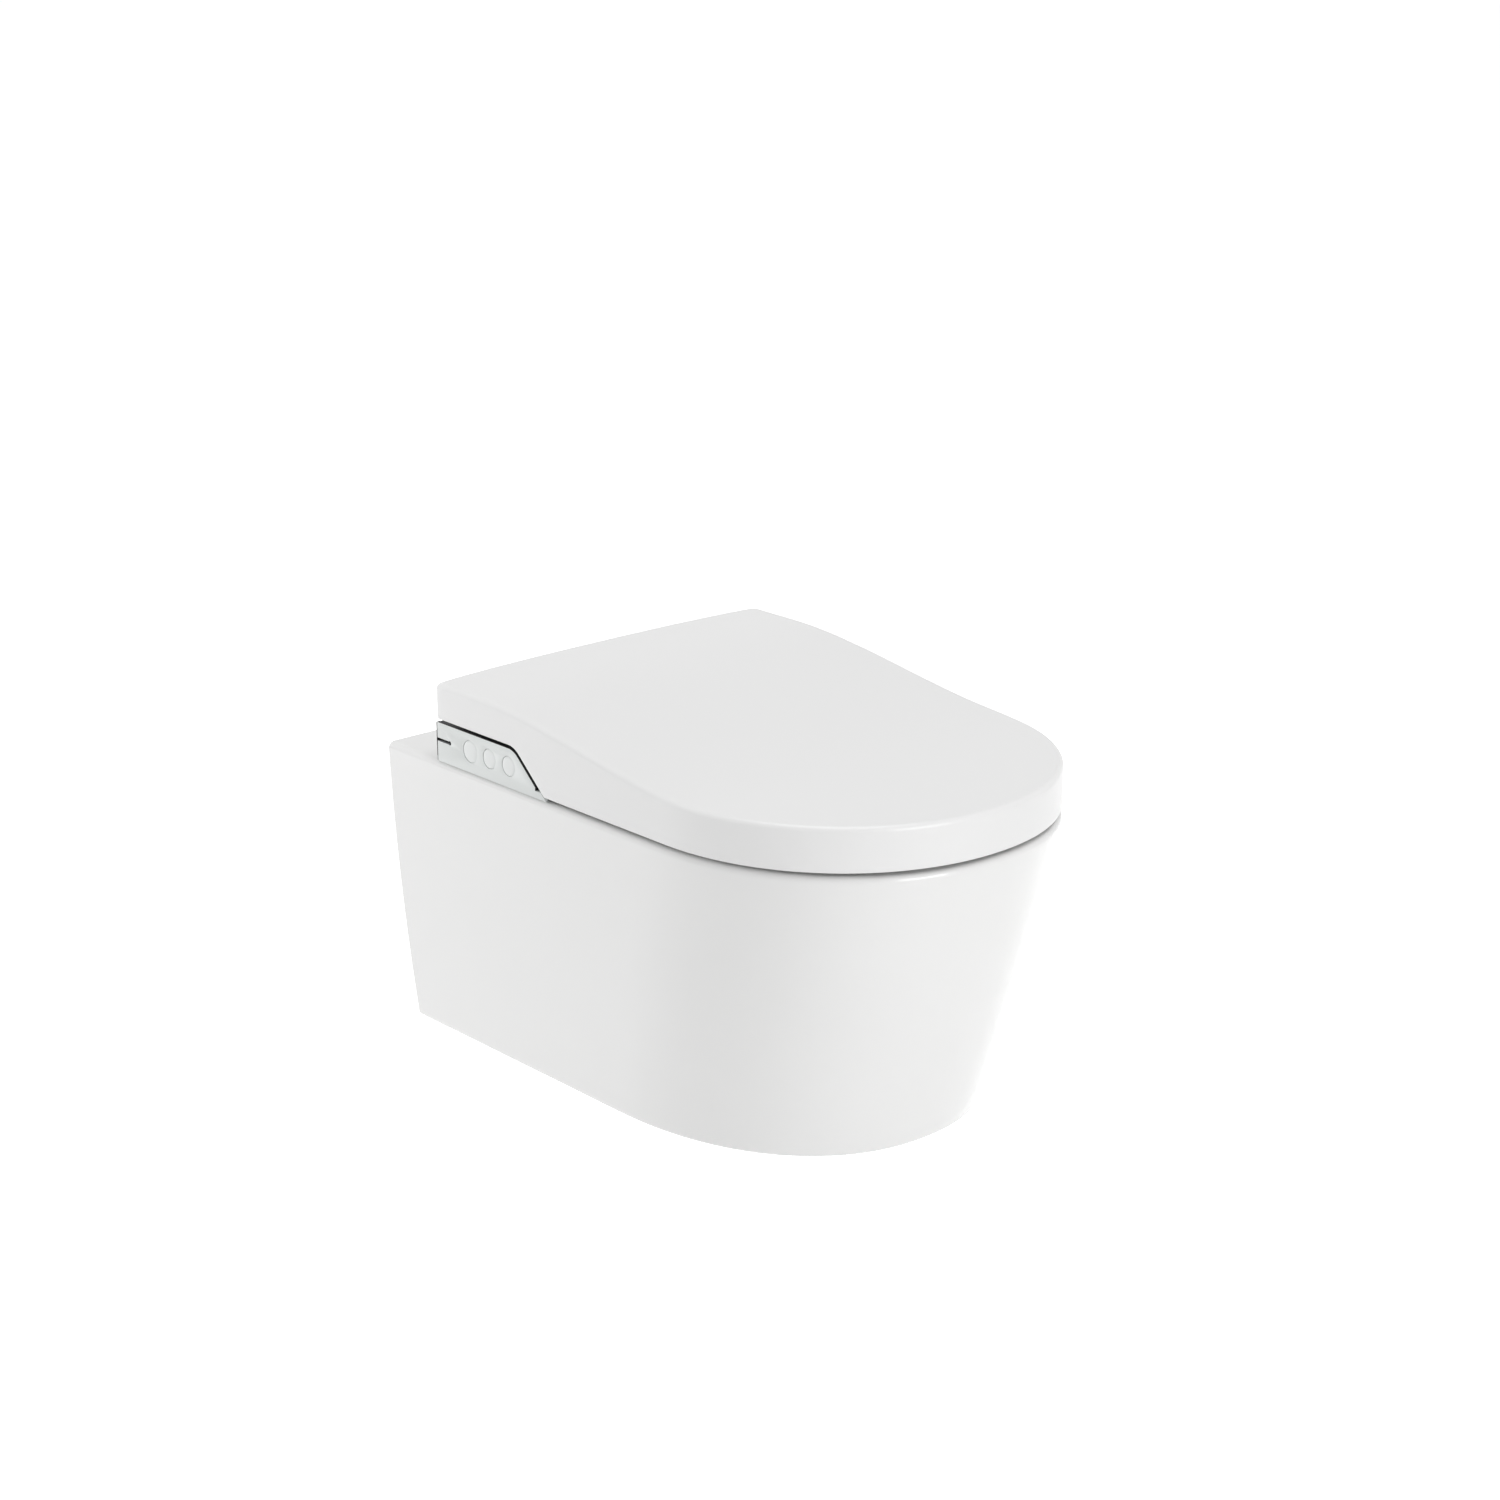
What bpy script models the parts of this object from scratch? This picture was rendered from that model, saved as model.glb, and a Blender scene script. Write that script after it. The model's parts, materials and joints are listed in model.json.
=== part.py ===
"""Wall-hung pan with a built-in electric bidet seat, as separate pieces at rest.

Frame: the wall is the plane y = 0 and the front points to -Y. The origin is on the wall,
midway between the two wall studs. Sizes are in metres.
"""

import math

import bmesh
import bpy
from mathutils import Matrix, Vector

MM = 0.001
GAP = 0.3 * MM  # between pieces that touch on the real object

# Pan
PAN_HEIGHT = 266 * MM
PAN_HALF = 184.3 * MM  # half width at the rim
PAN_FRONT = -563 * MM
PAN_STRAIGHT = -350 * MM  # where the straight sides end, at the rim
FOOT_HALF = PAN_HALF - 23.1 * MM
FOOT_FRONT = PAN_FRONT + 72 * MM
FOOT_STRAIGHT = -282 * MM
PAN_BULGE = 3.4 * MM  # how far the side stands out from a straight taper, half way up
PAN_POWER = 2.2  # how square the curved front is; 2 is an ellipse
PAN_WALL = 12 * MM
RIM_ROUND = 6 * MM
FOOT_ROUND = 4 * MM

# Connections in the wall, as heights above the pan's foot
STUD_UP = 186 * MM
STUD_APART = 180 * MM
OUTLET_UP = 86 * MM
OUTLET_RADIUS = 51 * MM
OUTLET_DEPTH = 50 * MM
FLUSH_UP = 221 * MM
FLUSH_RADIUS = 27.5 * MM
FLUSH_DEPTH = 60 * MM
FLUSH_PASSAGE = 22 * MM

# Bowl and trap
BOWL_HALF = 138 * MM
BOWL_REAR = -205 * MM
BOWL_FRONT = PAN_FRONT + 48 * MM
BOWL_FLOOR_UP = 42 * MM
BOWL_POWER = 2.3
SUMP_HALF = 20 * MM
SUMP_REAR = -318 * MM
SUMP_FRONT = -362 * MM
TRAP_RADIUS = 26 * MM
# Centre line of the trap as (y, height above the foot), from the sump over the weir to the outlet
TRAP_LINE = ((-335, 68), (-300, 63), (-262, 60), (-230, 72), (-202, 98), (-176, 121),
             (-148, 130), (-118, 117), (-88, 95), (-52, 86), (-20, 86))

FOOT = -STUD_UP
RIM = FOOT + PAN_HEIGHT

# Stud fixings
BOSS_HALF = 22 * MM
BOSS_DEPTH = 85 * MM
STUD_HOLE = 8 * MM
STUD_CLEAR = 6.4 * MM
ACCESS_REAR = -92 * MM
ACCESS_FRONT = -150 * MM
ACCESS_HALF = 24 * MM
BACK_WEB_HALF = 120 * MM
BACK_WEB_DEPTH = 14 * MM

# Mounting plate and service connections on the pan's deck
PLATE_HALF = 125 * MM
PLATE_REAR = -156 * MM
PLATE_FRONT = -200 * MM
PLATE_HOLE_X = 60 * MM
PLATE_HOLE_Y = -172 * MM
PLUG_RADIUS = 6.5 * MM
SERVICE_X = 50 * MM
SERVICE_Y = -110 * MM
SERVICE_RADIUS = 8 * MM

# Lid: heights are above the rim
LID_HALF = PAN_HALF - 0.5 * MM
LID_FRONT = PAN_FRONT + 2 * MM
LID_STRAIGHT = -372 * MM
LID_POWER = 2.08
LID_REAR = -62.5 * MM
LID_REAR_BOW = 9.5 * MM  # how far the rear edge bows back between its corners
LID_CORNER = 7 * MM
LID_TOP_REAR = 70.4 * MM
LID_TOP_FRONT = 41.4 * MM
LID_FALL_START = -128 * MM
LID_FALL_END = -414 * MM
LID_LOW = 4 * MM
LID_EDGE = 5 * MM
LID_WALL = 4 * MM

# The line where lid and side panel part: level, then a bend, then a slope down to the rim
PART_UP = 37.1 * MM
PART_BEND = -172.4 * MM
PART_RADIUS = 20 * MM
PART_SLOPE = math.radians(41.7)
PART_GAP = 3.1 * MM

# Hinge axis shared by seat ring and lid
HINGE_Y = -82 * MM
HINGE_UP = 52 * MM
PIN_RADIUS = 3.5 * MM
LID_BORE_END = LID_HALF - 1.8 * MM
BORE_CLEAR = 0.3 * MM
KNUCKLE = 10 * MM
BOSS_RADIUS = 9 * MM
DAMPER_LENGTH = 33 * MM
DAMPER_RADIUS = 6.2 * MM

# Seat ring
RING_HALF = LID_HALF - LID_WALL - 4 * MM
RING_FRONT = LID_FRONT + LID_WALL + 3.5 * MM
RING_REAR = -222 * MM
RING_LOW = 6 * MM
RING_BRIDGE_LOW = 26 * MM  # underside of the rear bar, over nozzles and dryer
RING_BRIDGE_HALF = 104 * MM
RING_UNDER_LID = LID_WALL + 5 * MM
RING_TOP_MOST = 53 * MM
RING_WALL = 3.5 * MM
RING_EDGE = 8 * MM
RING_CORNER = 10 * MM
OPENING_HALF = 105 * MM
OPENING_REAR = -247 * MM
OPENING_FRONT = RING_FRONT + 58.5 * MM
OPENING_POWER = 2.5
RING_BASE_WALL = 2.5 * MM
ARM_INNER = RING_HALF - 23.3 * MM
FRONT_BUMPER = 16  # which point of the ring's outline the front buffers stand beside

# Seat unit housing
HOUSE_REAR = -72.5 * MM
HOUSE_FRONT = -216 * MM
HOUSE_HALF = ARM_INNER - 3.5 * MM
HOUSE_WALL = 2.5 * MM
TRAY_LOW = 0.4 * MM  # the tray's underside above the rim
COVER_TOP = 64 * MM
COVER_REACH = 52 * MM  # how far back the cover's falling front reaches
PANEL_WALL = 3.2 * MM
SHOULDER_HALF = LID_HALF - PANEL_WALL - GAP

# Nozzles
NOZZLE_TILT = math.radians(20)
NOZZLE_APART = 22 * MM
NOZZLE_TIP_Y = -211.5 * MM
WAND_RADIUS = 6 * MM
NOZZLE_TIP_UP = WAND_RADIUS + 6.4 * MM
RACK_TOP = WAND_RADIUS + 3.2 * MM  # rack tooth tips above the wand's centre line
WAND_HEADROOM = 1 * MM  # between the rack's raised end and the cover
WAND_RISE = COVER_TOP - HOUSE_WALL - WAND_HEADROOM - NOZZLE_TIP_UP - RACK_TOP * math.cos(NOZZLE_TILT)
WAND_LENGTH = WAND_RISE / math.sin(NOZZLE_TILT)  # as long as fits under the cover
TIP_LENGTH = 14 * MM
WAND_CLEAR = 0.4 * MM
TOOTH_MODULE = 1 * MM
PINION_TEETH = 12
PINION_BACK = 22 * MM  # how far behind the tip the pinion meets the rack
RACK_HALF = 2 * MM
MOTOR_NEAR = 27 * MM
MOTOR_LENGTH = 15 * MM
MOTOR_RADIUS = 9 * MM

# Buttons on the left side panel
BUTTON_UP = 19.6 * MM
BUTTONS = {"button_rear": (-119.3 * MM, 9.5 * MM), "button_middle": (-145.8 * MM, 8.5 * MM),
           "button_front": (-172.2 * MM, 8.5 * MM)}
BUTTON_CLEAR = 0.35 * MM
BUTTON_TRAVEL = 1.5 * MM
BUTTON_STEM_END = -SHOULDER_HALF + 4.8 * MM
BUTTON_DISH = 0.5 * MM
SLOT_END = -90.6 * MM
SLOT_HALF = 1.15 * MM

# Dryer
FAN_X = 71 * MM
FAN_Y = -148 * MM
FAN_UP = 29 * MM
FAN_RADIUS = 17 * MM
FAN_HALF_WIDTH = 9 * MM
DUCT_HALF = 18 * MM
DUCT_LOW = 8 * MM
DUCT_HIGH = 24 * MM

# Pieces inside the housing, as low and high corners; heights are above the rim
HEATER_BOX = ((-138, -138, 6), (-66, -94, 44))
PUMP_HEAD_BOX = ((-112.5, -193, 7), (-94, -171, 29))
VALVE_BOX = ((102, -200, 6), (136, -178, 24))
SUPPLY_BOX = ((66, -122, 6), (138, -92, 40))
BOARD_BOX = ((-138, -140, 51), (-44, -92, 52.6))
# Chips on the board, as x, y, side and height
CHIPS = ((-120, -128, 12, 2.8), (-98, -104, 8, 3.5), (-70, -122, 14, 1.4), (-60, -100, 6, 4.2))
STUB_RADIUS = 3.5 * MM
PUMP_UP = 18 * MM
PUMP_Y = -182 * MM
PUMP_RADIUS = 11 * MM
PUMP_OUTLET_X = -103 * MM
HEATER_INLET = (-124 * MM, 16 * MM)  # x and height
HEATER_OUTLET = (-76 * MM, 32 * MM)
STUB_END_Y = -144 * MM
HOSE_GAP = 0.6 * MM

TOUCH = 1e-7
FRONT_POINTS = 14
SIDES = (("left", -1), ("right", 1))

MATERIALS = {
    "ceramic": ((0.83, 0.83, 0.82), 0.12, 0.0),
    "white_plastic": ((0.84, 0.84, 0.83), 0.25, 0.0),
    "panel_plastic": ((0.78, 0.80, 0.79), 0.30, 0.0),
    "black_plastic": ((0.03, 0.03, 0.03), 0.55, 0.0),
    "grey_plastic": ((0.35, 0.36, 0.37), 0.50, 0.0),
    "clear_plastic": ((0.10, 0.09, 0.10), 0.10, 0.0),
    "rubber": ((0.08, 0.08, 0.08), 0.80, 0.0),
    "silicone": ((0.75, 0.76, 0.77), 0.60, 0.0),
    "steel": ((0.62, 0.62, 0.63), 0.30, 1.0),
    "brass": ((0.70, 0.54, 0.26), 0.30, 1.0),
    "copper_foil": ((0.72, 0.42, 0.28), 0.35, 1.0),
    "board": ((0.04, 0.24, 0.10), 0.50, 0.0),
}


# ---------------------------------------------------------------- scene and small helpers

def clear_scene():
    for item in list(bpy.data.objects):
        bpy.data.objects.remove(item, do_unlink=True)


def new_collection(name):
    made = bpy.data.collections.new(name)
    bpy.context.scene.collection.children.link(made)
    return made


def make_materials():
    made = {}
    for name, (colour, roughness, metallic) in MATERIALS.items():
        material = bpy.data.materials.new(name)
        material.use_nodes = True
        shader = material.node_tree.nodes["Principled BSDF"]
        shader.inputs["Base Color"].default_value = (*colour, 1.0)
        shader.inputs["Roughness"].default_value = roughness
        shader.inputs["Metallic"].default_value = metallic
        made[name] = material
    return made


clear_scene()
PARTS = new_collection("electric_bidet_seat")
CUTTERS = new_collection("cutters")
FINISH = make_materials()


def add_object(name, mesh_data, finish=None, origin=(0, 0, 0)):
    """Links a mesh made in world space, with its origin at the given point. No finish means a cutter."""
    origin = Vector(origin)
    mesh_data.transform(Matrix.Translation(-origin))
    made = bpy.data.objects.new(name, mesh_data)
    made.location = origin
    if finish:
        PARTS.objects.link(made)
        mesh_data.materials.append(FINISH[finish])
    else:
        CUTTERS.objects.link(made)
        made.hide_render = True
        made.display_type = "WIRE"
    return made


def finish_mesh(name, work, finish, origin=(0, 0, 0), smooth_angle=35):
    """Turns a bmesh into an object, with its faces pointing out."""
    bmesh.ops.recalc_face_normals(work, faces=work.faces)
    data = bpy.data.meshes.new(name)
    work.to_mesh(data)
    work.free()
    data.shade_smooth()
    data.set_sharp_from_angle(angle=math.radians(smooth_angle))
    return add_object(name, data, finish, origin)


def boolean(target, other, operation):
    step = target.modifiers.new(operation.lower(), "BOOLEAN")
    step.object = other
    step.operation = operation
    step.solver = "EXACT"


def cut(target, *others):
    for other in others:
        boolean(target, other, "DIFFERENCE")


def join(target, *others):
    for other in others:
        boolean(target, other, "UNION")


def box(name, low, high, finish=None, origin=(0, 0, 0), round_by=0.0):
    low, high = Vector(low), Vector(high)
    work = bmesh.new()
    size = Matrix.Diagonal((*(high - low), 1))
    bmesh.ops.create_cube(work, size=1, matrix=Matrix.Translation((low + high) / 2) @ size)
    made = finish_mesh(name, work, finish, origin)
    if round_by:
        soften = made.modifiers.new("rounded_edges", "BEVEL")
        soften.width = round_by
        soften.segments = 2
    return made


def rod(name, start, end, radius, finish=None, origin=(0, 0, 0), sides=20, end_radius=None):
    """A cylinder or a cone from one point to another."""
    start, end = Vector(start), Vector(end)
    along = end - start
    turn = along.to_track_quat("Z", "Y").to_matrix().to_4x4()
    work = bmesh.new()
    bmesh.ops.create_cone(work, cap_ends=True, segments=sides, radius1=radius,
                          radius2=radius if end_radius is None else end_radius,
                          depth=along.length, matrix=Matrix.Translation((start + end) / 2) @ turn)
    return finish_mesh(name, work, finish, origin)


def profile_solid(name, points, low_x, high_x, finish=None, origin=(0, 0, 0)):
    """A side view outline, as (y, z) points, carried across from low_x to high_x."""
    work = bmesh.new()
    face = work.faces.new([work.verts.new((low_x, y, z)) for y, z in points])
    pulled = bmesh.ops.extrude_face_region(work, geom=[face])
    moved = [item for item in pulled["geom"] if isinstance(item, bmesh.types.BMVert)]
    bmesh.ops.translate(work, verts=moved, vec=(high_x - low_x, 0, 0))
    return finish_mesh(name, work, finish, origin)


def turned(name, profile, place, axis, finish=None, steps=24):
    """A closed (radius, height) profile spun round an axis. Its outer side runs from top to bottom."""
    data = bpy.data.meshes.new(name)
    count = len(profile)
    data.from_pydata([(r, 0, h) for r, h in profile], [(i, (i + 1) % count) for i in range(count)], [])
    made = add_object(name, data, finish)
    made.matrix_world = Matrix.Translation(place) @ Vector(axis).to_track_quat("Z", "Y").to_matrix().to_4x4()
    spin = made.modifiers.new("spin", "SCREW")
    spin.steps = steps
    spin.render_steps = steps
    spin.use_merge_vertices = True
    spin.merge_threshold = 1e-5
    return made


def pipe(name, points, radius, finish=None, resolution=3, between=2):
    """A round pipe along a smooth line through the points, as a closed mesh."""
    curve = bpy.data.curves.new(name, "CURVE")
    curve.dimensions = "3D"
    curve.bevel_depth = radius
    curve.bevel_resolution = resolution
    curve.use_fill_caps = True
    line = curve.splines.new("POLY")
    route = smooth_route(points, between)
    line.points.add(len(route) - 1)
    for spot, place in zip(line.points, route):
        spot.co = (*place, 1)
    holder = bpy.data.objects.new(name + "_line", curve)
    CUTTERS.objects.link(holder)
    graph = bpy.context.evaluated_depsgraph_get()
    data = bpy.data.meshes.new_from_object(holder.evaluated_get(graph))
    bpy.data.objects.remove(holder)
    work = bmesh.new()
    work.from_mesh(data)
    bpy.data.meshes.remove(data)
    bmesh.ops.remove_doubles(work, verts=work.verts, dist=1e-6)
    return finish_mesh(name, work, finish)


def smooth_route(points, between):
    """Catmull-Rom points through a coarse route."""
    spots = [Vector(p) for p in points]
    spots = [2 * spots[0] - spots[1], *spots, 2 * spots[-1] - spots[-2]]
    route = []
    for before, start, end, after in zip(spots, spots[1:], spots[2:], spots[3:]):
        for step in range(between):
            t = step / between
            route.append(0.5 * (2 * start + (end - before) * t
                                + (2 * before - 5 * start + 4 * end - after) * t ** 2
                                + (3 * start - before - 3 * end + after) * t ** 3))
    route.append(spots[-2])
    return route


# ---------------------------------------------------------------- skins over stacked loops

def half_row(work, left):
    """Vertices of a loop's left half, back to front, and of its mirrored right half."""
    near = [work.verts.new(point) for point in left]
    far = [v if abs(v.co.x) < TOUCH else work.verts.new((-v.co.x, v.co.y, v.co.z)) for v in near]
    return near, far


def skin_between(work, lower, upper):
    for low, high in zip(lower, upper):
        for i in range(len(low) - 1):
            work.faces.new((low[i], low[i + 1], high[i + 1], high[i]))
    if lower[0][0] is not lower[1][0]:
        work.faces.new((lower[0][0], upper[0][0], upper[1][0], lower[1][0]))


def cap(work, row):
    """Closes a loop with strips that run straight across, so a cap may rise and fall with y."""
    near, far = row
    for i in range(len(near) - 1):
        corners = [near[i], near[i + 1], far[i + 1], far[i]]
        work.faces.new(list(dict.fromkeys(corners)))


def stack_solid(name, tiers, finish=None, origin=(0, 0, 0)):
    """A solid over a stack of loops, each given by its left half."""
    work = bmesh.new()
    rows = [half_row(work, tier) for tier in tiers]
    for lower, upper in zip(rows, rows[1:]):
        skin_between(work, lower, upper)
    cap(work, rows[0])
    cap(work, rows[-1])
    return finish_mesh(name, work, finish, origin)


def band_solid(name, loops, finish=None, origin=(0, 0, 0)):
    """A closed band, such as a seat ring: the loops go once round its cross-section."""
    work = bmesh.new()
    rows = [half_row(work, loop) for loop in loops]
    for lower, upper in zip(rows, rows[1:] + rows[:1]):
        skin_between(work, lower, upper)
    return finish_mesh(name, work, finish, origin)


def curved_front(half, straight, front, power, count=FRONT_POINTS):
    """Left half of a D's curved end: from the side, after the straight stretch, to the centre."""
    points = []
    for i in range(count + 1):
        angle = math.pi / 2 * i / count
        x = -half * math.cos(angle) ** (2 / power) if i < count else 0.0
        points.append((x, straight + (front - straight) * math.sin(angle) ** (2 / power)))
    return points


def oval_half(half, rear, front, power, count=12):
    """Left half of an oval, from its rear point to its front point."""
    centre, reach = (rear + front) / 2, (rear - front) / 2
    points = []
    for i in range(count + 1):
        angle = math.pi * i / count
        across, along = math.sin(angle), math.cos(angle)
        x = -half * across ** (2 / power) if 0 < i < count else 0.0
        points.append((x, centre + math.copysign(reach * abs(along) ** (2 / power), along)))
    return points


def at_height(outline, z):
    return [Vector((x, y, z)) for x, y in outline]


def blend(low, high, t):
    return low + (high - low) * t


def ease(value, start, end):
    """0 at start, 1 at end, with a smooth rise between them."""
    t = min(max((value - start) / (end - start), 0), 1)
    return t * t * (3 - 2 * t)


# ---------------------------------------------------------------- shared shapes

def lid_top(y):
    """Height of the lid's top face above the pan's rim."""
    return blend(LID_TOP_REAR, LID_TOP_FRONT, ease(y, LID_FALL_START, LID_FALL_END))


def part_line(offset, lowest):
    """The lid and panel parting line, moved out by offset, as (y, z), from its bend down to a height."""
    radius = PART_RADIUS + offset
    centre_z = RIM + PART_UP - PART_RADIUS
    points = []
    for i in range(5):
        angle = PART_SLOPE * i / 4
        points.append((PART_BEND - radius * math.sin(angle), centre_z + radius * math.cos(angle)))
    end_y, end_z = points[-1]
    drop = end_z - (RIM + lowest)
    points.append((end_y - drop / math.tan(PART_SLOPE), RIM + lowest))
    return points


def shoulder_profile(offset, lowest, rear=HOUSE_REAR):
    """Side view of what stands under the parting line: the side panels and the housing's shoulders."""
    line = part_line(offset, lowest)
    return [(rear, RIM + lowest), (rear, line[0][1]), *line]


def hinge_point(x=0.0):
    return Vector((x, HINGE_Y, RIM + HINGE_UP))


# ---------------------------------------------------------------- pan

def pan_outline(height, inset=0.0, rear=0.0):
    """Left half of the pan's outline at a height above its foot."""
    t = height / PAN_HEIGHT
    bulge = PAN_BULGE * 4 * t * (1 - t)
    half = blend(FOOT_HALF, PAN_HALF, t) + bulge - inset
    front = blend(FOOT_FRONT, PAN_FRONT, t) - bulge + inset
    straight = blend(FOOT_STRAIGHT, PAN_STRAIGHT, t)
    return [(-half, rear)] + curved_front(half, straight, front, PAN_POWER)


def pan_skin(name, low, high, inset, rear, finish=None, round_low=0.0, round_high=0.0, tiers=9):
    """The pan's outer form, or its hollow: stacked outlines with rounded lower and upper edges."""
    stack = []
    for i in range(4 if round_low else 0):
        angle = math.pi / 2 * i / 4
        stack.append((low + round_low * (1 - math.sin(angle)), inset + round_low * (1 - math.cos(angle))))
    stack.reverse()
    for i in range(tiers):
        stack.append((blend(low + round_low, high - round_high, i / (tiers - 1)), inset))
    for i in range(1, 5 if round_high else 0):
        angle = math.pi / 2 * i / 4
        stack.append((high - round_high * (1 - math.sin(angle)), inset + round_high * (1 - math.cos(angle))))
    stack = list(dict.fromkeys(stack))
    loops = [at_height(pan_outline(height, back, rear), FOOT + height) for height, back in stack]
    return stack_solid(name, loops, finish)


def bowl_form(name, grow, top):
    """The bowl's inside, or with grow, the outside of its wall."""
    loops = []
    count = 9
    floor = BOWL_FLOOR_UP - grow
    for i in range(count):
        t = i / (count - 1)
        spread = math.sin(math.pi / 2 * t) ** 0.8
        outline = oval_half(blend(SUMP_HALF, BOWL_HALF, spread) + grow,
                            blend(SUMP_REAR, BOWL_REAR, spread) + grow,
                            blend(SUMP_FRONT, BOWL_FRONT, spread) - grow, BOWL_POWER)
        loops.append(at_height(outline, FOOT + blend(floor, PAN_HEIGHT - PAN_WALL / 2, t)))
    loops.append([point + Vector((0, 0, top - loops[-1][0].z)) for point in loops[-1]])
    return stack_solid(name, loops)


def make_pan():
    pan = pan_skin("ceramic_pan", 0, PAN_HEIGHT, 0, 0, "ceramic", FOOT_ROUND, RIM_ROUND)
    cut(pan, pan_skin("pan_hollow", PAN_WALL, PAN_HEIGHT - PAN_WALL, PAN_WALL, 10 * MM, tiers=6))
    trap = [(0, y * MM, FOOT + up * MM) for y, up in TRAP_LINE]
    outlet_z, flush_z = FOOT + OUTLET_UP, FOOT + FLUSH_UP
    inside = PAN_HEIGHT - PAN_WALL / 2
    join(pan,
         box("back_web", (-BACK_WEB_HALF, -BACK_WEB_DEPTH, FOOT + PAN_WALL / 2),
             (BACK_WEB_HALF, 0, FOOT + inside)),
         bowl_form("bowl_wall", PAN_WALL, FOOT + inside),
         pipe("trap_wall", trap, TRAP_RADIUS + PAN_WALL, between=1),
         rod("outlet_wall", (0, -OUTLET_DEPTH - PAN_WALL, outlet_z), (0, -1 * MM, outlet_z),
             OUTLET_RADIUS + PAN_WALL, sides=32),
         rod("flush_wall", (0, BOWL_REAR - PAN_WALL / 2, flush_z), (0, -1 * MM, flush_z),
             FLUSH_RADIUS + PAN_WALL, sides=28))
    for side in (-1, 1):
        x = side * STUD_APART / 2
        join(pan, box("stud_boss", (x - BOSS_HALF, -BOSS_DEPTH, -BOSS_HALF),
                      (x + BOSS_HALF, -1 * MM, BOSS_HALF)))
    cut(pan,
        bowl_form("bowl_inside", 0, RIM + 5 * MM),
        pipe("trap_inside", trap, TRAP_RADIUS, between=1),
        rod("outlet_bore", (0, -OUTLET_DEPTH, outlet_z), (0, 10 * MM, outlet_z), OUTLET_RADIUS, sides=32),
        rod("flush_bore", (0, -FLUSH_DEPTH, flush_z), (0, 10 * MM, flush_z), FLUSH_RADIUS, sides=28),
        rod("flush_passage", (0, BOWL_REAR - 20 * MM, flush_z), (0, -FLUSH_DEPTH + 5 * MM, flush_z),
            FLUSH_PASSAGE, sides=20))
    for side in (-1, 1):
        x = side * STUD_APART / 2
        cut(pan,
            rod("stud_hole", (x, -BOSS_DEPTH - 5 * MM, 0), (x, 10 * MM, 0), STUD_HOLE, sides=16),
            box("stud_access", (x - ACCESS_HALF, ACCESS_FRONT, RIM - 20 * MM),
                (x + ACCESS_HALF, ACCESS_REAR, RIM + 5 * MM)),
            rod("plate_hole", (side * PLATE_HOLE_X, PLATE_HOLE_Y, RIM - 20 * MM),
                (side * PLATE_HOLE_X, PLATE_HOLE_Y, RIM + 5 * MM), PLUG_RADIUS + GAP, sides=14),
            rod("service_hole", (side * SERVICE_X, SERVICE_Y, RIM - 20 * MM),
                (side * SERVICE_X, SERVICE_Y, RIM + 5 * MM), SERVICE_RADIUS + 2 * MM, sides=18))
    return pan


def make_stud_fixings():
    """A sleeve and a flanged nut for each wall stud. The studs belong to the wall frame."""
    flange = 2 * MM
    for side_name, side in SIDES:
        x = side * STUD_APART / 2
        front = -BOSS_DEPTH - GAP
        body = rod("sleeve_body", (x, front - flange, 0), (x, -GAP, 0), STUD_HOLE - GAP, sides=16)
        rim = rod("sleeve_rim", (x, front - flange, 0), (x, front, 0), 13 * MM, sides=16)
        sleeve = collect("stud_sleeve_" + side_name, [body, rim], "white_plastic")
        front -= flange + GAP
        washer = rod("nut_flange", (x, front - 2.5 * MM, 0), (x, front, 0), 14 * MM, sides=20)
        hexagon = rod("nut_body", (x, front - 12 * MM, 0), (x, front, 0), 10.9 * MM, sides=6)
        nut = collect("stud_nut_" + side_name, [washer, hexagon], "steel")
        for piece in (sleeve, nut):
            cut(piece, rod("stud_clearance", (x, -120 * MM, 0), (x, 10 * MM, 0), STUD_CLEAR, sides=14))


def collect(name, pieces, finish, origin=(0, 0, 0)):
    """One named node from several shapes, joined where they meet."""
    first = pieces[0]
    CUTTERS.objects.unlink(first)
    PARTS.objects.link(first)
    first.hide_render = False
    first.display_type = "TEXTURED"
    first.name = name
    first.data.name = name
    first.data.materials.append(FINISH[finish])
    join(first, *pieces[1:])
    if Vector(origin).length:
        first.data.transform(Matrix.Translation(-Vector(origin)))
        first.location = origin
    return first


def make_pipe_seals():
    for name, up, radius, depth in (("outlet_seal", OUTLET_UP, OUTLET_RADIUS, 26 * MM),
                                    ("flush_seal", FLUSH_UP, FLUSH_RADIUS, 20 * MM)):
        outer, inner = radius - GAP, radius - 5 * MM
        lip = inner - 1.5 * MM
        profile = ((outer, 0), (outer, -depth), (lip, -depth), (lip, -depth + 3 * MM),
                   (inner, -depth + 6 * MM), (inner, 0))
        turned(name, profile, (0, -3 * MM, FOOT + up), (0, 1, 0), "rubber", steps=20)


# ---------------------------------------------------------------- housing

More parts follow.
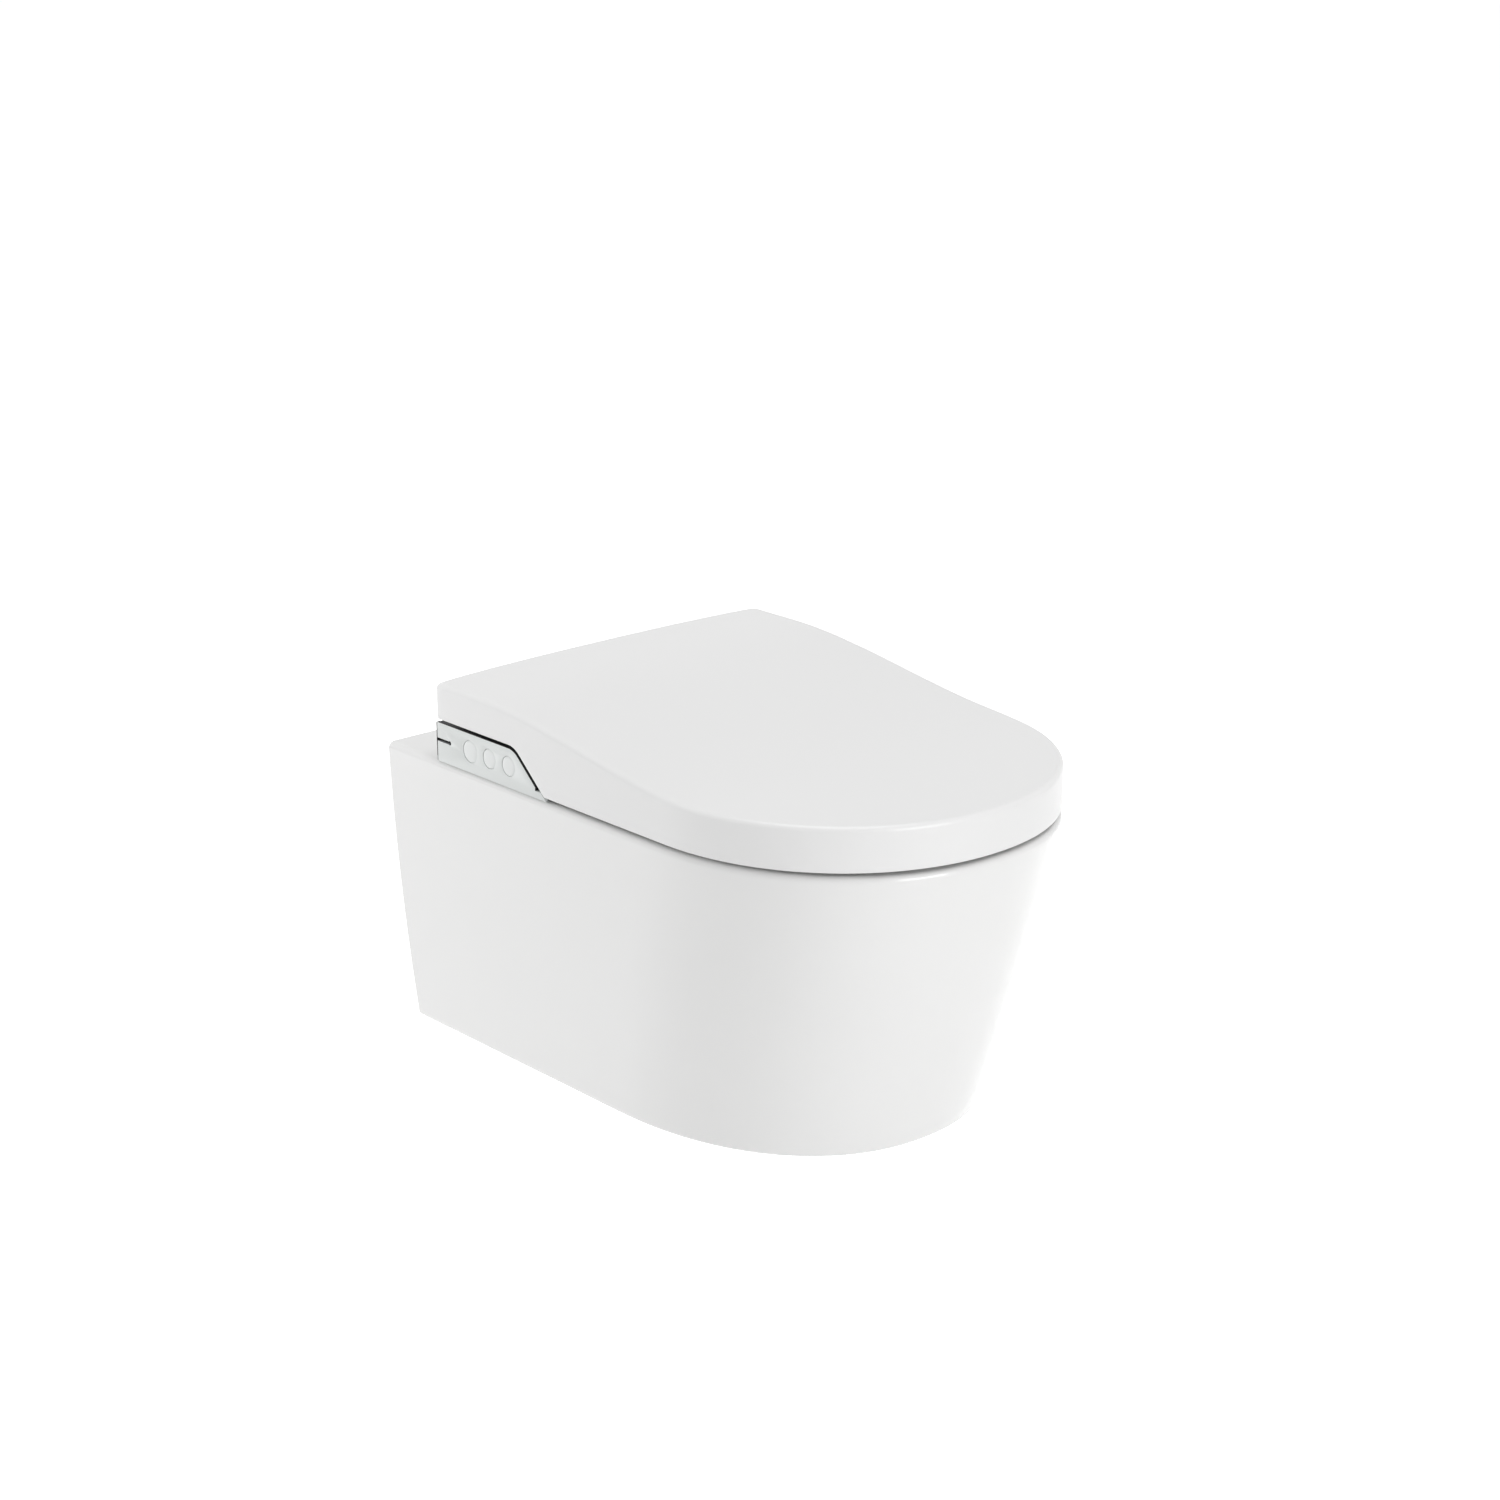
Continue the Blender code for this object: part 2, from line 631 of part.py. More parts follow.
def make_plate():
    """Steel plate with two clip rails, held on the deck by screws in expanding plugs."""
    half, rear, front = PLATE_HALF, PLATE_REAR, PLATE_FRONT
    low, high = RIM + GAP, RIM + 2.3 * MM
    plate = box("mounting_plate", (-half, front, low), (half, rear, high), "steel")
    for side_name, side in SIDES:
        x, y = side * PLATE_HOLE_X, PLATE_HOLE_Y
        join(plate, box("plate_rail", (side * 112 * MM - 5 * MM, front + 4 * MM, low),
                        (side * 112 * MM + 5 * MM, rear - 4 * MM, high + 2.4 * MM)))
        cut(plate, rod("plate_screw_hole", (x, y, low - 1 * MM), (x, y, high + 1 * MM), 3.4 * MM, sides=12))
        plug = rod("deck_plug_" + side_name, (x, y, RIM - 16 * MM), (x, y, RIM), PLUG_RADIUS, "rubber",
                   sides=14)
        cut(plug, rod("plug_bore", (x, y, RIM - 30 * MM), (x, y, RIM + 5 * MM), 3 * MM + GAP, sides=12))
        shank = rod("screw_shank", (x, y, RIM - 22 * MM), (x, y, high + 1 * MM), 3 * MM, sides=12)
        head = rod("screw_head", (x, y, high + GAP), (x, y, high + 3 * MM), 5.5 * MM, sides=12)
        collect("plate_screw_" + side_name, [shank, head], "steel")


def make_housing_base():
    """Dark tray that stands on the pan's deck: a middle box with a shoulder on each side."""
    top = RIM + PART_UP - PART_GAP / 2 - GAP
    low = RIM + TRAY_LOW
    wall = HOUSE_WALL
    lowest = low - RIM
    offset = -PART_GAP / 2 - GAP
    base = box("housing_base", (-HOUSE_HALF, HOUSE_FRONT, low), (HOUSE_HALF, HOUSE_REAR, top),
               "black_plastic")
    profile = shoulder_profile(offset, lowest)
    inner = [(HOUSE_REAR - wall, low + wall), (HOUSE_REAR - wall, top - wall),
             *part_line(offset - wall, lowest + wall)]
    for side in (-1, 1):
        inside, outside = sorted((side * (HOUSE_HALF - 8 * MM), side * SHOULDER_HALF))
        join(base, profile_solid("shoulder", profile, inside, outside))
    flange_half = LID_HALF - 0.4 * MM
    join(base, box("rear_flange", (-flange_half, HOUSE_REAR + GAP, RIM + 5 * MM),
                   (flange_half, HOUSE_REAR + 1 * MM, top - 0.4 * MM)),
         box("flange_root", (-SHOULDER_HALF + 6 * MM, HOUSE_REAR - 1 * MM, RIM + 7 * MM),
             (SHOULDER_HALF - 6 * MM, HOUSE_REAR + 0.6 * MM, top - 2 * MM)))
    cut(base, profile_solid("tray_sides", inner, -SHOULDER_HALF + wall, SHOULDER_HALF - wall),
        box("tray_middle", (-HOUSE_HALF + wall, HOUSE_FRONT + wall, low + wall),
            (HOUSE_HALF - wall, HOUSE_REAR - wall, top + 10 * MM)))
    free = 0.6 * MM
    cut(base, box("plate_window", (-PLATE_HALF - free, PLATE_FRONT - free, low - 1 * MM),
                  (PLATE_HALF + free, PLATE_REAR + free, low + wall + 1 * MM)))
    for side in (-1, 1):
        cut(base, rod("service_opening", (side * SERVICE_X, SERVICE_Y, low - 1 * MM),
                      (side * SERVICE_X, SERVICE_Y, low + wall + 1 * MM), SERVICE_RADIUS + GAP, sides=18))
    button_z = RIM + BUTTON_UP
    cut(base, box("button_window", (-SHOULDER_HALF - 1 * MM, -185 * MM, button_z - 13.6 * MM),
                  (-SHOULDER_HALF + wall + 1 * MM, -105 * MM, button_z + 11.4 * MM)))
    for name, low_x, high_x, low_up, high_up in front_windows():
        cut(base, box(name + "_window", (low_x - GAP, HOUSE_FRONT - 1 * MM, RIM + low_up - GAP),
                      (high_x + GAP, HOUSE_FRONT + wall + 1 * MM, RIM + high_up + GAP)))
    return base


def front_windows():
    """Pieces set into the housing's front wall, as name, x range and height range above the rim."""
    shield_half = NOZZLE_APART / 2 + WAND_RADIUS + 9 * MM
    shield_top = NOZZLE_TIP_UP + RACK_TOP + 6.6 * MM
    return (("nozzle_shield", -shield_half, shield_half, TRAY_LOW + HOUSE_WALL + GAP, shield_top),
            ("dryer_mouth", FAN_X - DUCT_HALF, FAN_X + DUCT_HALF, DUCT_LOW, DUCT_HIGH),
            ("presence_sensor", -82 * MM, -58 * MM, 12 * MM, 22 * MM))


def make_front_pieces():
    for name, low_x, high_x, low_up, high_up in front_windows():
        if name == "dryer_mouth":
            continue
        finish = "white_plastic" if name == "nozzle_shield" else "clear_plastic"
        piece = box(name, (low_x, HOUSE_FRONT, RIM + low_up),
                    (high_x, HOUSE_FRONT + 2 * MM, RIM + high_up), finish)
        if name == "nozzle_shield":
            for side in (-1, 1):
                cut(piece, *wand_clearance(side))


def cover_profile(inset):
    """Side view of the cover: rounded at the rear, falling away at the front under the lid."""
    low = RIM + PART_UP - PART_GAP / 2
    top = RIM + COVER_TOP - inset
    round_by = 6 * MM - inset
    rear = HOUSE_REAR - inset
    points = [(rear, low - inset)]
    for i in range(5):
        angle = math.pi / 2 * i / 4
        points.append((rear - round_by * (1 - math.cos(angle)), top - round_by * (1 - math.sin(angle))))
    fall = top - low - 4 * MM
    for i in range(9):
        angle = math.pi / 2 * i / 8
        points.append((HOUSE_FRONT + inset + COVER_REACH * (1 - math.sin(angle)),
                       top - fall * (1 - math.cos(angle))))
    points.append((HOUSE_FRONT + inset, low - inset))
    return points


def make_housing_cover():
    cover = profile_solid("housing_cover", cover_profile(0), -HOUSE_HALF, HOUSE_HALF, "white_plastic")
    wall = HOUSE_WALL
    cut(cover, profile_solid("cover_inside", cover_profile(wall), -HOUSE_HALF + wall, HOUSE_HALF - wall))
    past = HOUSE_HALF + 11 * MM
    cut(cover, rod("pin_holes", hinge_point(-past), hinge_point(past), PIN_RADIUS + BORE_CLEAR, sides=16))
    return cover


def make_side_panels():
    profile = shoulder_profile(-PART_GAP / 2, 0.8 * MM)
    inner, outer = SHOULDER_HALF + GAP, LID_HALF
    profile_solid("side_panel_right", profile, inner, outer, "panel_plastic")
    left = profile_solid("side_panel_left", profile, -outer, -inner, "panel_plastic")
    x = (-outer - 1 * MM, -inner + 1 * MM)
    z = RIM + BUTTON_UP
    for y, radius in BUTTONS.values():
        cut(left, rod("button_hole", (x[0], y, z), (x[1], y, z), radius + BUTTON_CLEAR, sides=28))
    slot_z = z + 0.6 * MM
    cut(left, box("slot", (x[0], SLOT_END, slot_z - SLOT_HALF),
                  (x[1], HOUSE_REAR + 1 * MM, slot_z + SLOT_HALF)),
        rod("slot_end", (x[0], SLOT_END, slot_z), (x[1], SLOT_END, slot_z), SLOT_HALF * 1.5, sides=12),
        box("tip_notch", (x[0], -215.5 * MM, RIM + 5.6 * MM), (x[1], -211.8 * MM, RIM + 12 * MM)))


def make_buttons():
    outer = -LID_HALF
    z = RIM + BUTTON_UP
    for name, (y, radius) in BUTTONS.items():
        flange = -SHOULDER_HALF + 0.4 * MM
        cap_piece = rod(name + "_cap", (outer, y, z), (flange + 1.2 * MM, y, z), radius, sides=28)
        rim = rod(name + "_flange", (flange, y, z), (flange + 1.2 * MM, y, z), radius + 1.2 * MM, sides=20)
        stem = rod(name + "_stem", (flange, y, z), (BUTTON_STEM_END, y, z), 2.5 * MM, sides=12)
        button = collect(name, [cap_piece, rim, stem], "white_plastic", (outer, y, z))
        cut(button, rod(name + "_dish", (outer - BUTTON_DISH, y, z), (outer + BUTTON_DISH, y, z),
                        radius * 0.95, sides=20, end_radius=radius * 0.45))


def make_button_board():
    board_x = BUTTON_STEM_END + BUTTON_TRAVEL + 2.2 * MM
    z = RIM + BUTTON_UP
    pieces = [box("board_plate", (board_x, -179 * MM, z - 11 * MM),
                  (board_x + 1.6 * MM, -108 * MM, z + 8 * MM))]
    for y, _ in BUTTONS.values():
        pieces.append(box("tact_switch", (board_x - 1.8 * MM, y - 3 * MM, z - 3 * MM),
                          (board_x + 0.5 * MM, y + 3 * MM, z + 3 * MM)))
    collect("button_board", pieces, "board")


# ---------------------------------------------------------------- lid and seat ring

def lid_half(inset=0.0, rear_grow=0.0):
    """Left half of the lid's outline: bowed rear edge, rounded corner, straight side, curved front."""
    half = LID_HALF - inset
    points = []
    corner_x = half - LID_CORNER
    for share in (0, 0.35, 0.62, 0.84):
        x = corner_x * share
        points.append((-x, LID_REAR - LID_REAR_BOW * (x / half) ** 2.5 + rear_grow))
    side_y = LID_REAR - LID_REAR_BOW - LID_CORNER + rear_grow
    for i in range(4):
        angle = math.pi / 2 * i / 3
        points.append((-corner_x - LID_CORNER * math.sin(angle), side_y + LID_CORNER * math.cos(angle)))
    for y in lid_stations():
        points.append((-half, y))
    return points + curved_front(half, LID_STRAIGHT, LID_FRONT + inset, LID_POWER)


def lid_stations():
    """Where the lid's side has points: round the parting line's bend and along the falling top."""
    bend = [y for y, _ in part_line(PART_GAP / 2, LID_LOW)]
    slope = [LID_FALL_START + (LID_FALL_END - LID_FALL_START) * share for share in (0.4, 0.5, 0.6, 0.7, 0.8)]
    return [-100 * MM, LID_FALL_START, -150 * MM, *bend, *[y for y in slope if y < bend[-1] - 2 * MM]]


def skirt_low(y):
    """Height of the lid's lower edge above the rim: it steps up over the side panel."""
    line = part_line(PART_GAP / 2, LID_LOW)
    if y >= line[0][0]:
        return line[0][1] - RIM
    if y <= line[-1][0]:
        return LID_LOW
    for (y0, z0), (y1, z1) in zip(line, line[1:]):
        if y1 <= y <= y0:
            return blend(z0, z1, (y - y0) / (y1 - y0)) - RIM
    return LID_LOW


def make_lid():
    axis = hinge_point()
    loops = [[Vector((x, y, RIM + skirt_low(y))) for x, y in lid_half()]]
    for i in range(5):
        angle = math.pi / 2 * i / 4
        inset = LID_EDGE * (1 - math.cos(angle))
        drop = LID_EDGE * (1 - math.sin(angle))
        loops.append([Vector((x, y, RIM + lid_top(y) - drop)) for x, y in lid_half(inset, -inset)])
    lid = stack_solid("lid", loops, "white_plastic", axis)
    inner = lid_half(LID_WALL, rear_grow=20 * MM)
    low = [Vector((x, y, RIM + skirt_low(y) - 20 * MM)) for x, y in inner]
    high = [Vector((x, y, RIM + lid_top(y) - LID_WALL)) for x, y in inner]
    cut(lid, stack_solid("lid_inside", [low, high]))
    corner_y = LID_REAR - LID_REAR_BOW
    corner_z = RIM + PART_UP + PART_GAP / 2
    chamfer = 2.6 * MM
    cut(lid, profile_solid("skirt_corner", [(corner_y + 1 * MM, corner_z + chamfer + 1 * MM),
                                            (corner_y - chamfer - 1 * MM, corner_z - 1 * MM),
                                            (corner_y + 3 * MM, corner_z - 3 * MM)],
                           -LID_HALF - 1 * MM, LID_HALF + 1 * MM))
    boss_start, boss_end = RING_HALF + 0.5 * MM, LID_HALF - LID_WALL + 1.2 * MM
    for side in (-1, 1):
        join(lid, rod("lid_boss", hinge_point(side * boss_start), hinge_point(side * boss_end), BOSS_RADIUS,
                      sides=24))
        cut(lid, rod("lid_bore", hinge_point(side * (RING_HALF - 5 * MM)), hinge_point(side * LID_BORE_END),
                     PIN_RADIUS + BORE_CLEAR, sides=16))
    return lid


def ring_half(inset=0.0):
    """Left half of the seat ring's outer outline, from its rear bar to its front."""
    half = RING_HALF - inset
    rear = RING_REAR - inset
    corner = RING_CORNER
    points = [(-x, rear) for x in (0, 40 * MM, 80 * MM, 100 * MM, 112 * MM, half - 35.8 * MM)]
    for i in range(3):
        angle = math.pi / 2 * i / 2
        points.append((-half + corner * (1 - math.sin(angle)), rear - corner * (1 - math.cos(angle))))
    for y in (-262, -292, -322, -350):
        points.append((-half, y * MM))
    return points + curved_front(half, LID_STRAIGHT, RING_FRONT + inset, LID_POWER, 10)


def opening_half(inset=0.0):
    """The seat opening's outline, one point for each point of the outer outline."""
    points = []
    centre = (OPENING_REAR + OPENING_FRONT) / 2
    half, reach = OPENING_HALF - inset, (OPENING_REAR - OPENING_FRONT) / 2 - inset
    for x, y in ring_half():
        across, along = -x / RING_HALF, (y - centre) / (RING_REAR - centre)
        power = OPENING_POWER
        size = ((across / half) ** power + (abs(along) / reach) ** power) ** (1 / power)
        points.append((-across / size if across > 1e-6 else 0.0, centre + along / size))
    return points


def ring_top(y):
    return min(RING_TOP_MOST, lid_top(y) - RING_UNDER_LID)


def ring_low(x, y):
    """Underside of the ring: level on the rim, raised under the rear bar."""
    across = 1 - ease(abs(x), RING_BRIDGE_HALF, RING_BRIDGE_HALF + 16 * MM)
    along = ease(y, -275 * MM, -250 * MM)
    return blend(RING_LOW, RING_BRIDGE_LOW, across * along)


def ring_loops(inset, drop, edge, steps):
    """Loops over the ring's top, from the outer lower edge to the inner lower edge."""
    loops = []
    angles = [math.pi / 2 * i / steps for i in range(steps + 1)]
    rounding = [(inset + edge * (1 - math.cos(a)), drop + edge * (1 - math.sin(a))) for a in angles]
    for outline_half, sign in ((ring_half, 1), (opening_half, -1)):
        over = [[Vector((x, y, RIM + ring_top(y) - down)) for x, y in outline_half(sign * back)]
                for back, down in rounding]
        foot = [Vector((x, y, RIM + ring_low(x, y))) for x, y in outline_half(sign * inset)]
        loops += [foot, *over][::sign]
    return loops


def make_seat_ring():
    axis = hinge_point()
    outside = ring_loops(0, 0, RING_EDGE, 3)
    inside = ring_loops(RING_WALL, RING_WALL, RING_EDGE - RING_WALL, 1)
    ring = band_solid("seat_ring", outside + inside[::-1], "white_plastic", axis)
    line = part_line(PART_GAP / 2 + GAP, RING_LOW)
    end_y, end_z = RING_REAR - 12 * MM, RIM + RING_LOW + RING_BASE_WALL + 2 * GAP
    lower = [(HINGE_Y - 8 * MM, line[0][1]), *line, (RING_REAR - 2 * MM, RIM + RING_LOW),
             (RING_REAR - 2 * MM, end_z), (end_y, end_z)]
    upper = [(end_y, RIM + ring_top(end_y) - 6 * MM), (RING_REAR + 32 * MM, RIM + RING_TOP_MOST)]
    knuckle = []
    for i in range(9):
        angle = math.pi * i / 8
        knuckle.append((HINGE_Y + KNUCKLE * math.sin(angle), RIM + HINGE_UP + KNUCKLE * math.cos(angle)))
    bore_start, bore_end = ARM_INNER - 5 * MM, RING_HALF + 5 * MM
    for side in (-1, 1):
        inside_x, outside_x = sorted((side * ARM_INNER, side * (RING_HALF - GAP)))
        join(ring, profile_solid("ring_arm", upper + knuckle[:-1] + lower, inside_x, outside_x))
        cut(ring, rod("arm_bore", hinge_point(side * bore_start), hinge_point(side * bore_end),
                      PIN_RADIUS + BORE_CLEAR, sides=16))
    return ring


def make_ring_base():
    """Flat plate that closes the ring from below, with the ring's own outline."""
    fit = RING_WALL + GAP
    outer, inner = ring_half(fit), opening_half(-fit)
    rise = RING_BASE_WALL
    band_solid("seat_ring_base", [
        [Vector((x, y, RIM + ring_low(x, y))) for x, y in outer],
        [Vector((x, y, RIM + ring_low(x, y) + rise)) for x, y in outer],
        [Vector((x, y, RIM + ring_low(x, y) + rise)) for x, y in inner],
        [Vector((x, y, RIM + ring_low(x, y))) for x, y in inner]], "white_plastic", hinge_point())


def make_ring_heater():
    """Warming foil just under the ring's top skin."""
    fit = RING_EDGE + 0.7 * MM
    outer, inner = ring_half(fit), opening_half(-fit)
    drop, thick = RING_WALL + 2 * GAP, 0.5 * MM
    band_solid("ring_heater", [
        [Vector((x, y, RIM + ring_top(y) - drop - thick)) for x, y in outer],
        [Vector((x, y, RIM + ring_top(y) - drop)) for x, y in outer],
        [Vector((x, y, RIM + ring_top(y) - drop)) for x, y in inner],
        [Vector((x, y, RIM + ring_top(y) - drop - thick)) for x, y in inner]], "copper_foil", hinge_point())


def make_bumpers():
    """Four feet under the seat ring and two under the lid's front."""
    axis = hinge_point()
    places = [((x0 + x1) / 2, (y0 + y1) / 2) for (x0, y0), (x1, y1) in zip(ring_half(), opening_half())]
    front_place = places[FRONT_BUMPER]
    rear_place = (-RING_HALF + 17.8 * MM, RING_REAR - 68 * MM)
    low, high = RIM + GAP, RIM + RING_LOW - GAP
    for side_name, side in SIDES:
        for end, (x, y) in (("rear", rear_place), ("front", front_place)):
            rod(f"ring_bumper_{end}_{side_name}", (-side * x, y, low), (-side * x, y, high), 7.5 * MM,
                "silicone", axis, sides=14)
        x, y = -front_place[0] - 8 * MM, front_place[1] + 6 * MM
        rod("lid_bumper_" + side_name, (side * x, y, RIM + ring_top(y) + 1.1 * MM),
            (side * x, y, RIM + lid_top(y) - LID_WALL - 0.9 * MM), 5 * MM, "silicone", axis, sides=12)


def make_hinge():
    """A pin on each side, through the ring's arm into the lid, and the two soft-closing dampers."""
    pin_start, pin_end = HOUSE_HALF - 20 * MM, LID_BORE_END - 0.5 * MM
    for side_name, side in SIDES:
        rod("hinge_pin_" + side_name, hinge_point(side * pin_start), hinge_point(side * pin_end), PIN_RADIUS,
            "steel", sides=16)
    for name, side in (("ring_damper", -1), ("lid_damper", 1)):
        rod(name, hinge_point(side * (pin_start - DAMPER_LENGTH)), hinge_point(side * (pin_start - GAP)),
            DAMPER_RADIUS, "grey_plastic")


# ---------------------------------------------------------------- nozzles

ALONG = Vector((0, -math.cos(NOZZLE_TILT), -math.sin(NOZZLE_TILT)))
ABOVE = Vector((0, -math.sin(NOZZLE_TILT), math.cos(NOZZLE_TILT)))


def nozzle_point(side, back, above=0.0, across=0.0):
    """A point in the nozzle's own directions: back from the tip, above its centre line, and across."""
    tip = Vector((side * NOZZLE_APART / 2, NOZZLE_TIP_Y, RIM + NOZZLE_TIP_UP))
    return tip - ALONG * back + ABOVE * above + Vector((across, 0, 0))


def nozzle_solid(name, side, outline, half, finish=None):
    """A side view outline in the nozzle's directions, as (back, above), carried across by half each way."""
    points = [nozzle_point(side, back, above) for back, above in outline]
    x = side * NOZZLE_APART / 2
    return profile_solid(name, [(p.y, p.z) for p in points], x - half, x + half, finish)


def wand_clearance(side):
    reach = 60 * MM
    round_hole = rod("wand_hole", nozzle_point(side, -reach), nozzle_point(side, 130 * MM),
                     WAND_RADIUS + WAND_CLEAR, sides=20)
    key = nozzle_solid("rack_slot", side, [(-reach, 0), (-reach, RACK_TOP + WAND_CLEAR),
                                           (130 * MM, RACK_TOP + WAND_CLEAR), (130 * MM, 0)],
                       RACK_HALF + WAND_CLEAR)
    return round_hole, key


def rack_outline():
    """Side view of the rack strip: straight underside, teeth on top."""
    pitch = math.pi * TOOTH_MODULE
    root = RACK_TOP - 2.05 * TOOTH_MODULE
    start, end = TIP_LENGTH + 3 * MM, WAND_LENGTH - 1 * MM
    points = [(start, 3 * MM), (start, root)]
    first = math.ceil((start + pitch - PINION_BACK) / pitch)
    last = math.floor((end - pitch - PINION_BACK) / pitch)
    for i in range(first, last + 1):
        centre = PINION_BACK + (i + 0.5) * pitch
        if centre > end - pitch / 2:
            break
        for shift, height in ((-1.1, root), (-0.36, RACK_TOP), (0.36, RACK_TOP), (1.1, root)):
            points.append((centre + shift * TOOTH_MODULE, height))
    return points + [(end, root), (end, 3 * MM)]


def make_wand(name, side):
    start = nozzle_point(side, TIP_LENGTH + GAP)
    wand = rod(name + "_wand", start, nozzle_point(side, WAND_LENGTH), WAND_RADIUS, "steel", start, sides=20)
    join(wand, nozzle_solid("rack", side, rack_outline(), RACK_HALF))
    tip = rod(name + "_tip", nozzle_point(side, 0), nozzle_point(side, TIP_LENGTH), WAND_RADIUS,
              "white_plastic", start, sides=20)
    flat, over = WAND_RADIUS - 1.4 * MM, WAND_RADIUS + 3 * MM
    cut(tip, nozzle_solid("tip_flat", side, [(2 * MM, flat), (2 * MM, over), (12 * MM, over), (12 * MM, flat)],
                          WAND_RADIUS + 1 * MM))
    holes = ((0, 0), (-1, 0), (1, 0), (0, -1), (0, 1)) if side < 0 else ((-1, -1), (-1, 1), (1, -1), (1, 1))
    for step_x, step_back in holes:
        centre = (7 + 2 * step_back) * MM
        cut(tip, rod("spray_hole", nozzle_point(side, centre, 2 * MM, 1.9 * MM * step_x),
                     nozzle_point(side, centre, 9 * MM, 1.9 * MM * step_x), 0.55 * MM, sides=8))


def pinion_centre(side):
    radius = TOOTH_MODULE * PINION_TEETH / 2
    return nozzle_point(side, PINION_BACK, RACK_TOP - 0.9 * TOOTH_MODULE + radius)


def make_pinion(name, side):
    """Toothed wheel with its shaft. A gap between two rack teeth lies straight below its centre."""
    centre = pinion_centre(side)
    radius = TOOTH_MODULE * PINION_TEETH / 2
    pitch = 2 * math.pi / PINION_TEETH
    outline = []
    for tooth in range(PINION_TEETH):
        middle = tooth * pitch
        for shift, reach in ((-0.33, -1.15), (-0.13, 0.85), (0.13, 0.85), (0.33, -1.15)):
            angle = middle + shift * pitch
            size = radius + reach * TOOTH_MODULE
            place = centre - ABOVE * size * math.cos(angle) + ALONG * size * math.sin(angle)
            outline.append((place.y, place.z))
    wheel = profile_solid(name, outline, centre.x - RACK_HALF, centre.x + RACK_HALF, "white_plastic",
                          centre)
    far = side * (MOTOR_NEAR + 4 * MM)
    join(wheel, rod("pinion_shaft", centre, (far, centre.y, centre.z), 1.5 * MM, sides=10))


def make_nozzle_motor(name, side):
    y, z = pinion_centre(side).yz
    far = MOTOR_NEAR + MOTOR_LENGTH
    motor = rod(name, (side * MOTOR_NEAR, y, z), (side * far, y, z), MOTOR_RADIUS, "steel")
    cut(motor, rod("motor_bore", (side * (MOTOR_NEAR - 2 * MM), y, z), (side * (MOTOR_NEAR + 5 * MM), y, z),
                   1.9 * MM, sides=10))


def make_nozzle_guide():
    """Sloping block that both wands run through, open above for their racks and pinions."""
    top, floor, front_floor = WAND_RADIUS + 3 * MM, -WAND_RADIUS - 2.6 * MM, -WAND_RADIUS - 1.2 * MM
    outline = [(4 * MM, front_floor), (4 * MM, top), (62 * MM, top), (62 * MM, floor), (12 * MM, floor)]
    points = [nozzle_point(0, back, above) for back, above in outline]
    half = NOZZLE_APART / 2 + WAND_RADIUS + 3 * MM
    guide = profile_solid("nozzle_guide", [(p.y, p.z) for p in points], -half, half, "grey_plastic")
    for side in (-1, 1):
        cut(guide, *wand_clearance(side))
        y, z = pinion_centre(side).yz
        x = side * NOZZLE_APART / 2
        cut(guide, rod("pinion_room", (x - RACK_HALF - 0.6 * MM, y, z), (x + RACK_HALF + 0.6 * MM, y, z),
                       8 * MM, sides=20),
            rod("shaft_room", (x, y, z), (side * (half + 3 * MM), y, z), 2.2 * MM, sides=10))


# ---------------------------------------------------------------- dryer

def make_dryer():
    z = RIM + FAN_UP
    room = FAN_RADIUS + 5 * MM
    half = FAN_HALF_WIDTH + 3 * MM
    scroll = rod("scroll_drum", (FAN_X - half, FAN_Y, z), (FAN_X + half, FAN_Y, z), room, sides=28)
    throat = box("scroll_throat", (FAN_X - half + 0.5 * MM, FAN_Y - 34 * MM, RIM + DUCT_LOW),
                 (FAN_X + half - 0.5 * MM, FAN_Y, RIM + DUCT_HIGH))
    scroll = collect("dryer_scroll", [scroll, throat], "grey_plastic")
    inner = FAN_HALF_WIDTH + 1.2 * MM
    cut(scroll, rod("scroll_room", (FAN_X - inner, FAN_Y, z), (FAN_X + inner, FAN_Y, z), room - 2 * MM,
                    sides=28),
        box("throat_room", (FAN_X - inner + 0.6 * MM, FAN_Y - 40 * MM, RIM + DUCT_LOW + 2 * MM),
            (FAN_X + inner - 0.6 * MM, FAN_Y - 6 * MM, RIM + DUCT_HIGH - 2 * MM)),
        rod("air_inlet", (FAN_X - half - 5 * MM, FAN_Y, z), (FAN_X, FAN_Y, z), 10 * MM, sides=20),
        rod("shaft_way", (FAN_X, FAN_Y, z), (FAN_X + half + 5 * MM, FAN_Y, z), 2.2 * MM, sides=10))
    make_fan_wheel(z)
    motor_start = FAN_X + half + GAP
    motor = rod("fan_motor", (motor_start, FAN_Y, z), (motor_start + 14 * MM, FAN_Y, z), 12 * MM, "steel",
                sides=20)
    cut(motor, rod("fan_motor_bore", (motor_start - 2 * MM, FAN_Y, z), (motor_start + 5 * MM, FAN_Y, z),
                   1.9 * MM, sides=10))
    make_dryer_duct(FAN_Y - 34 * MM - GAP)
    make_dryer_flap()


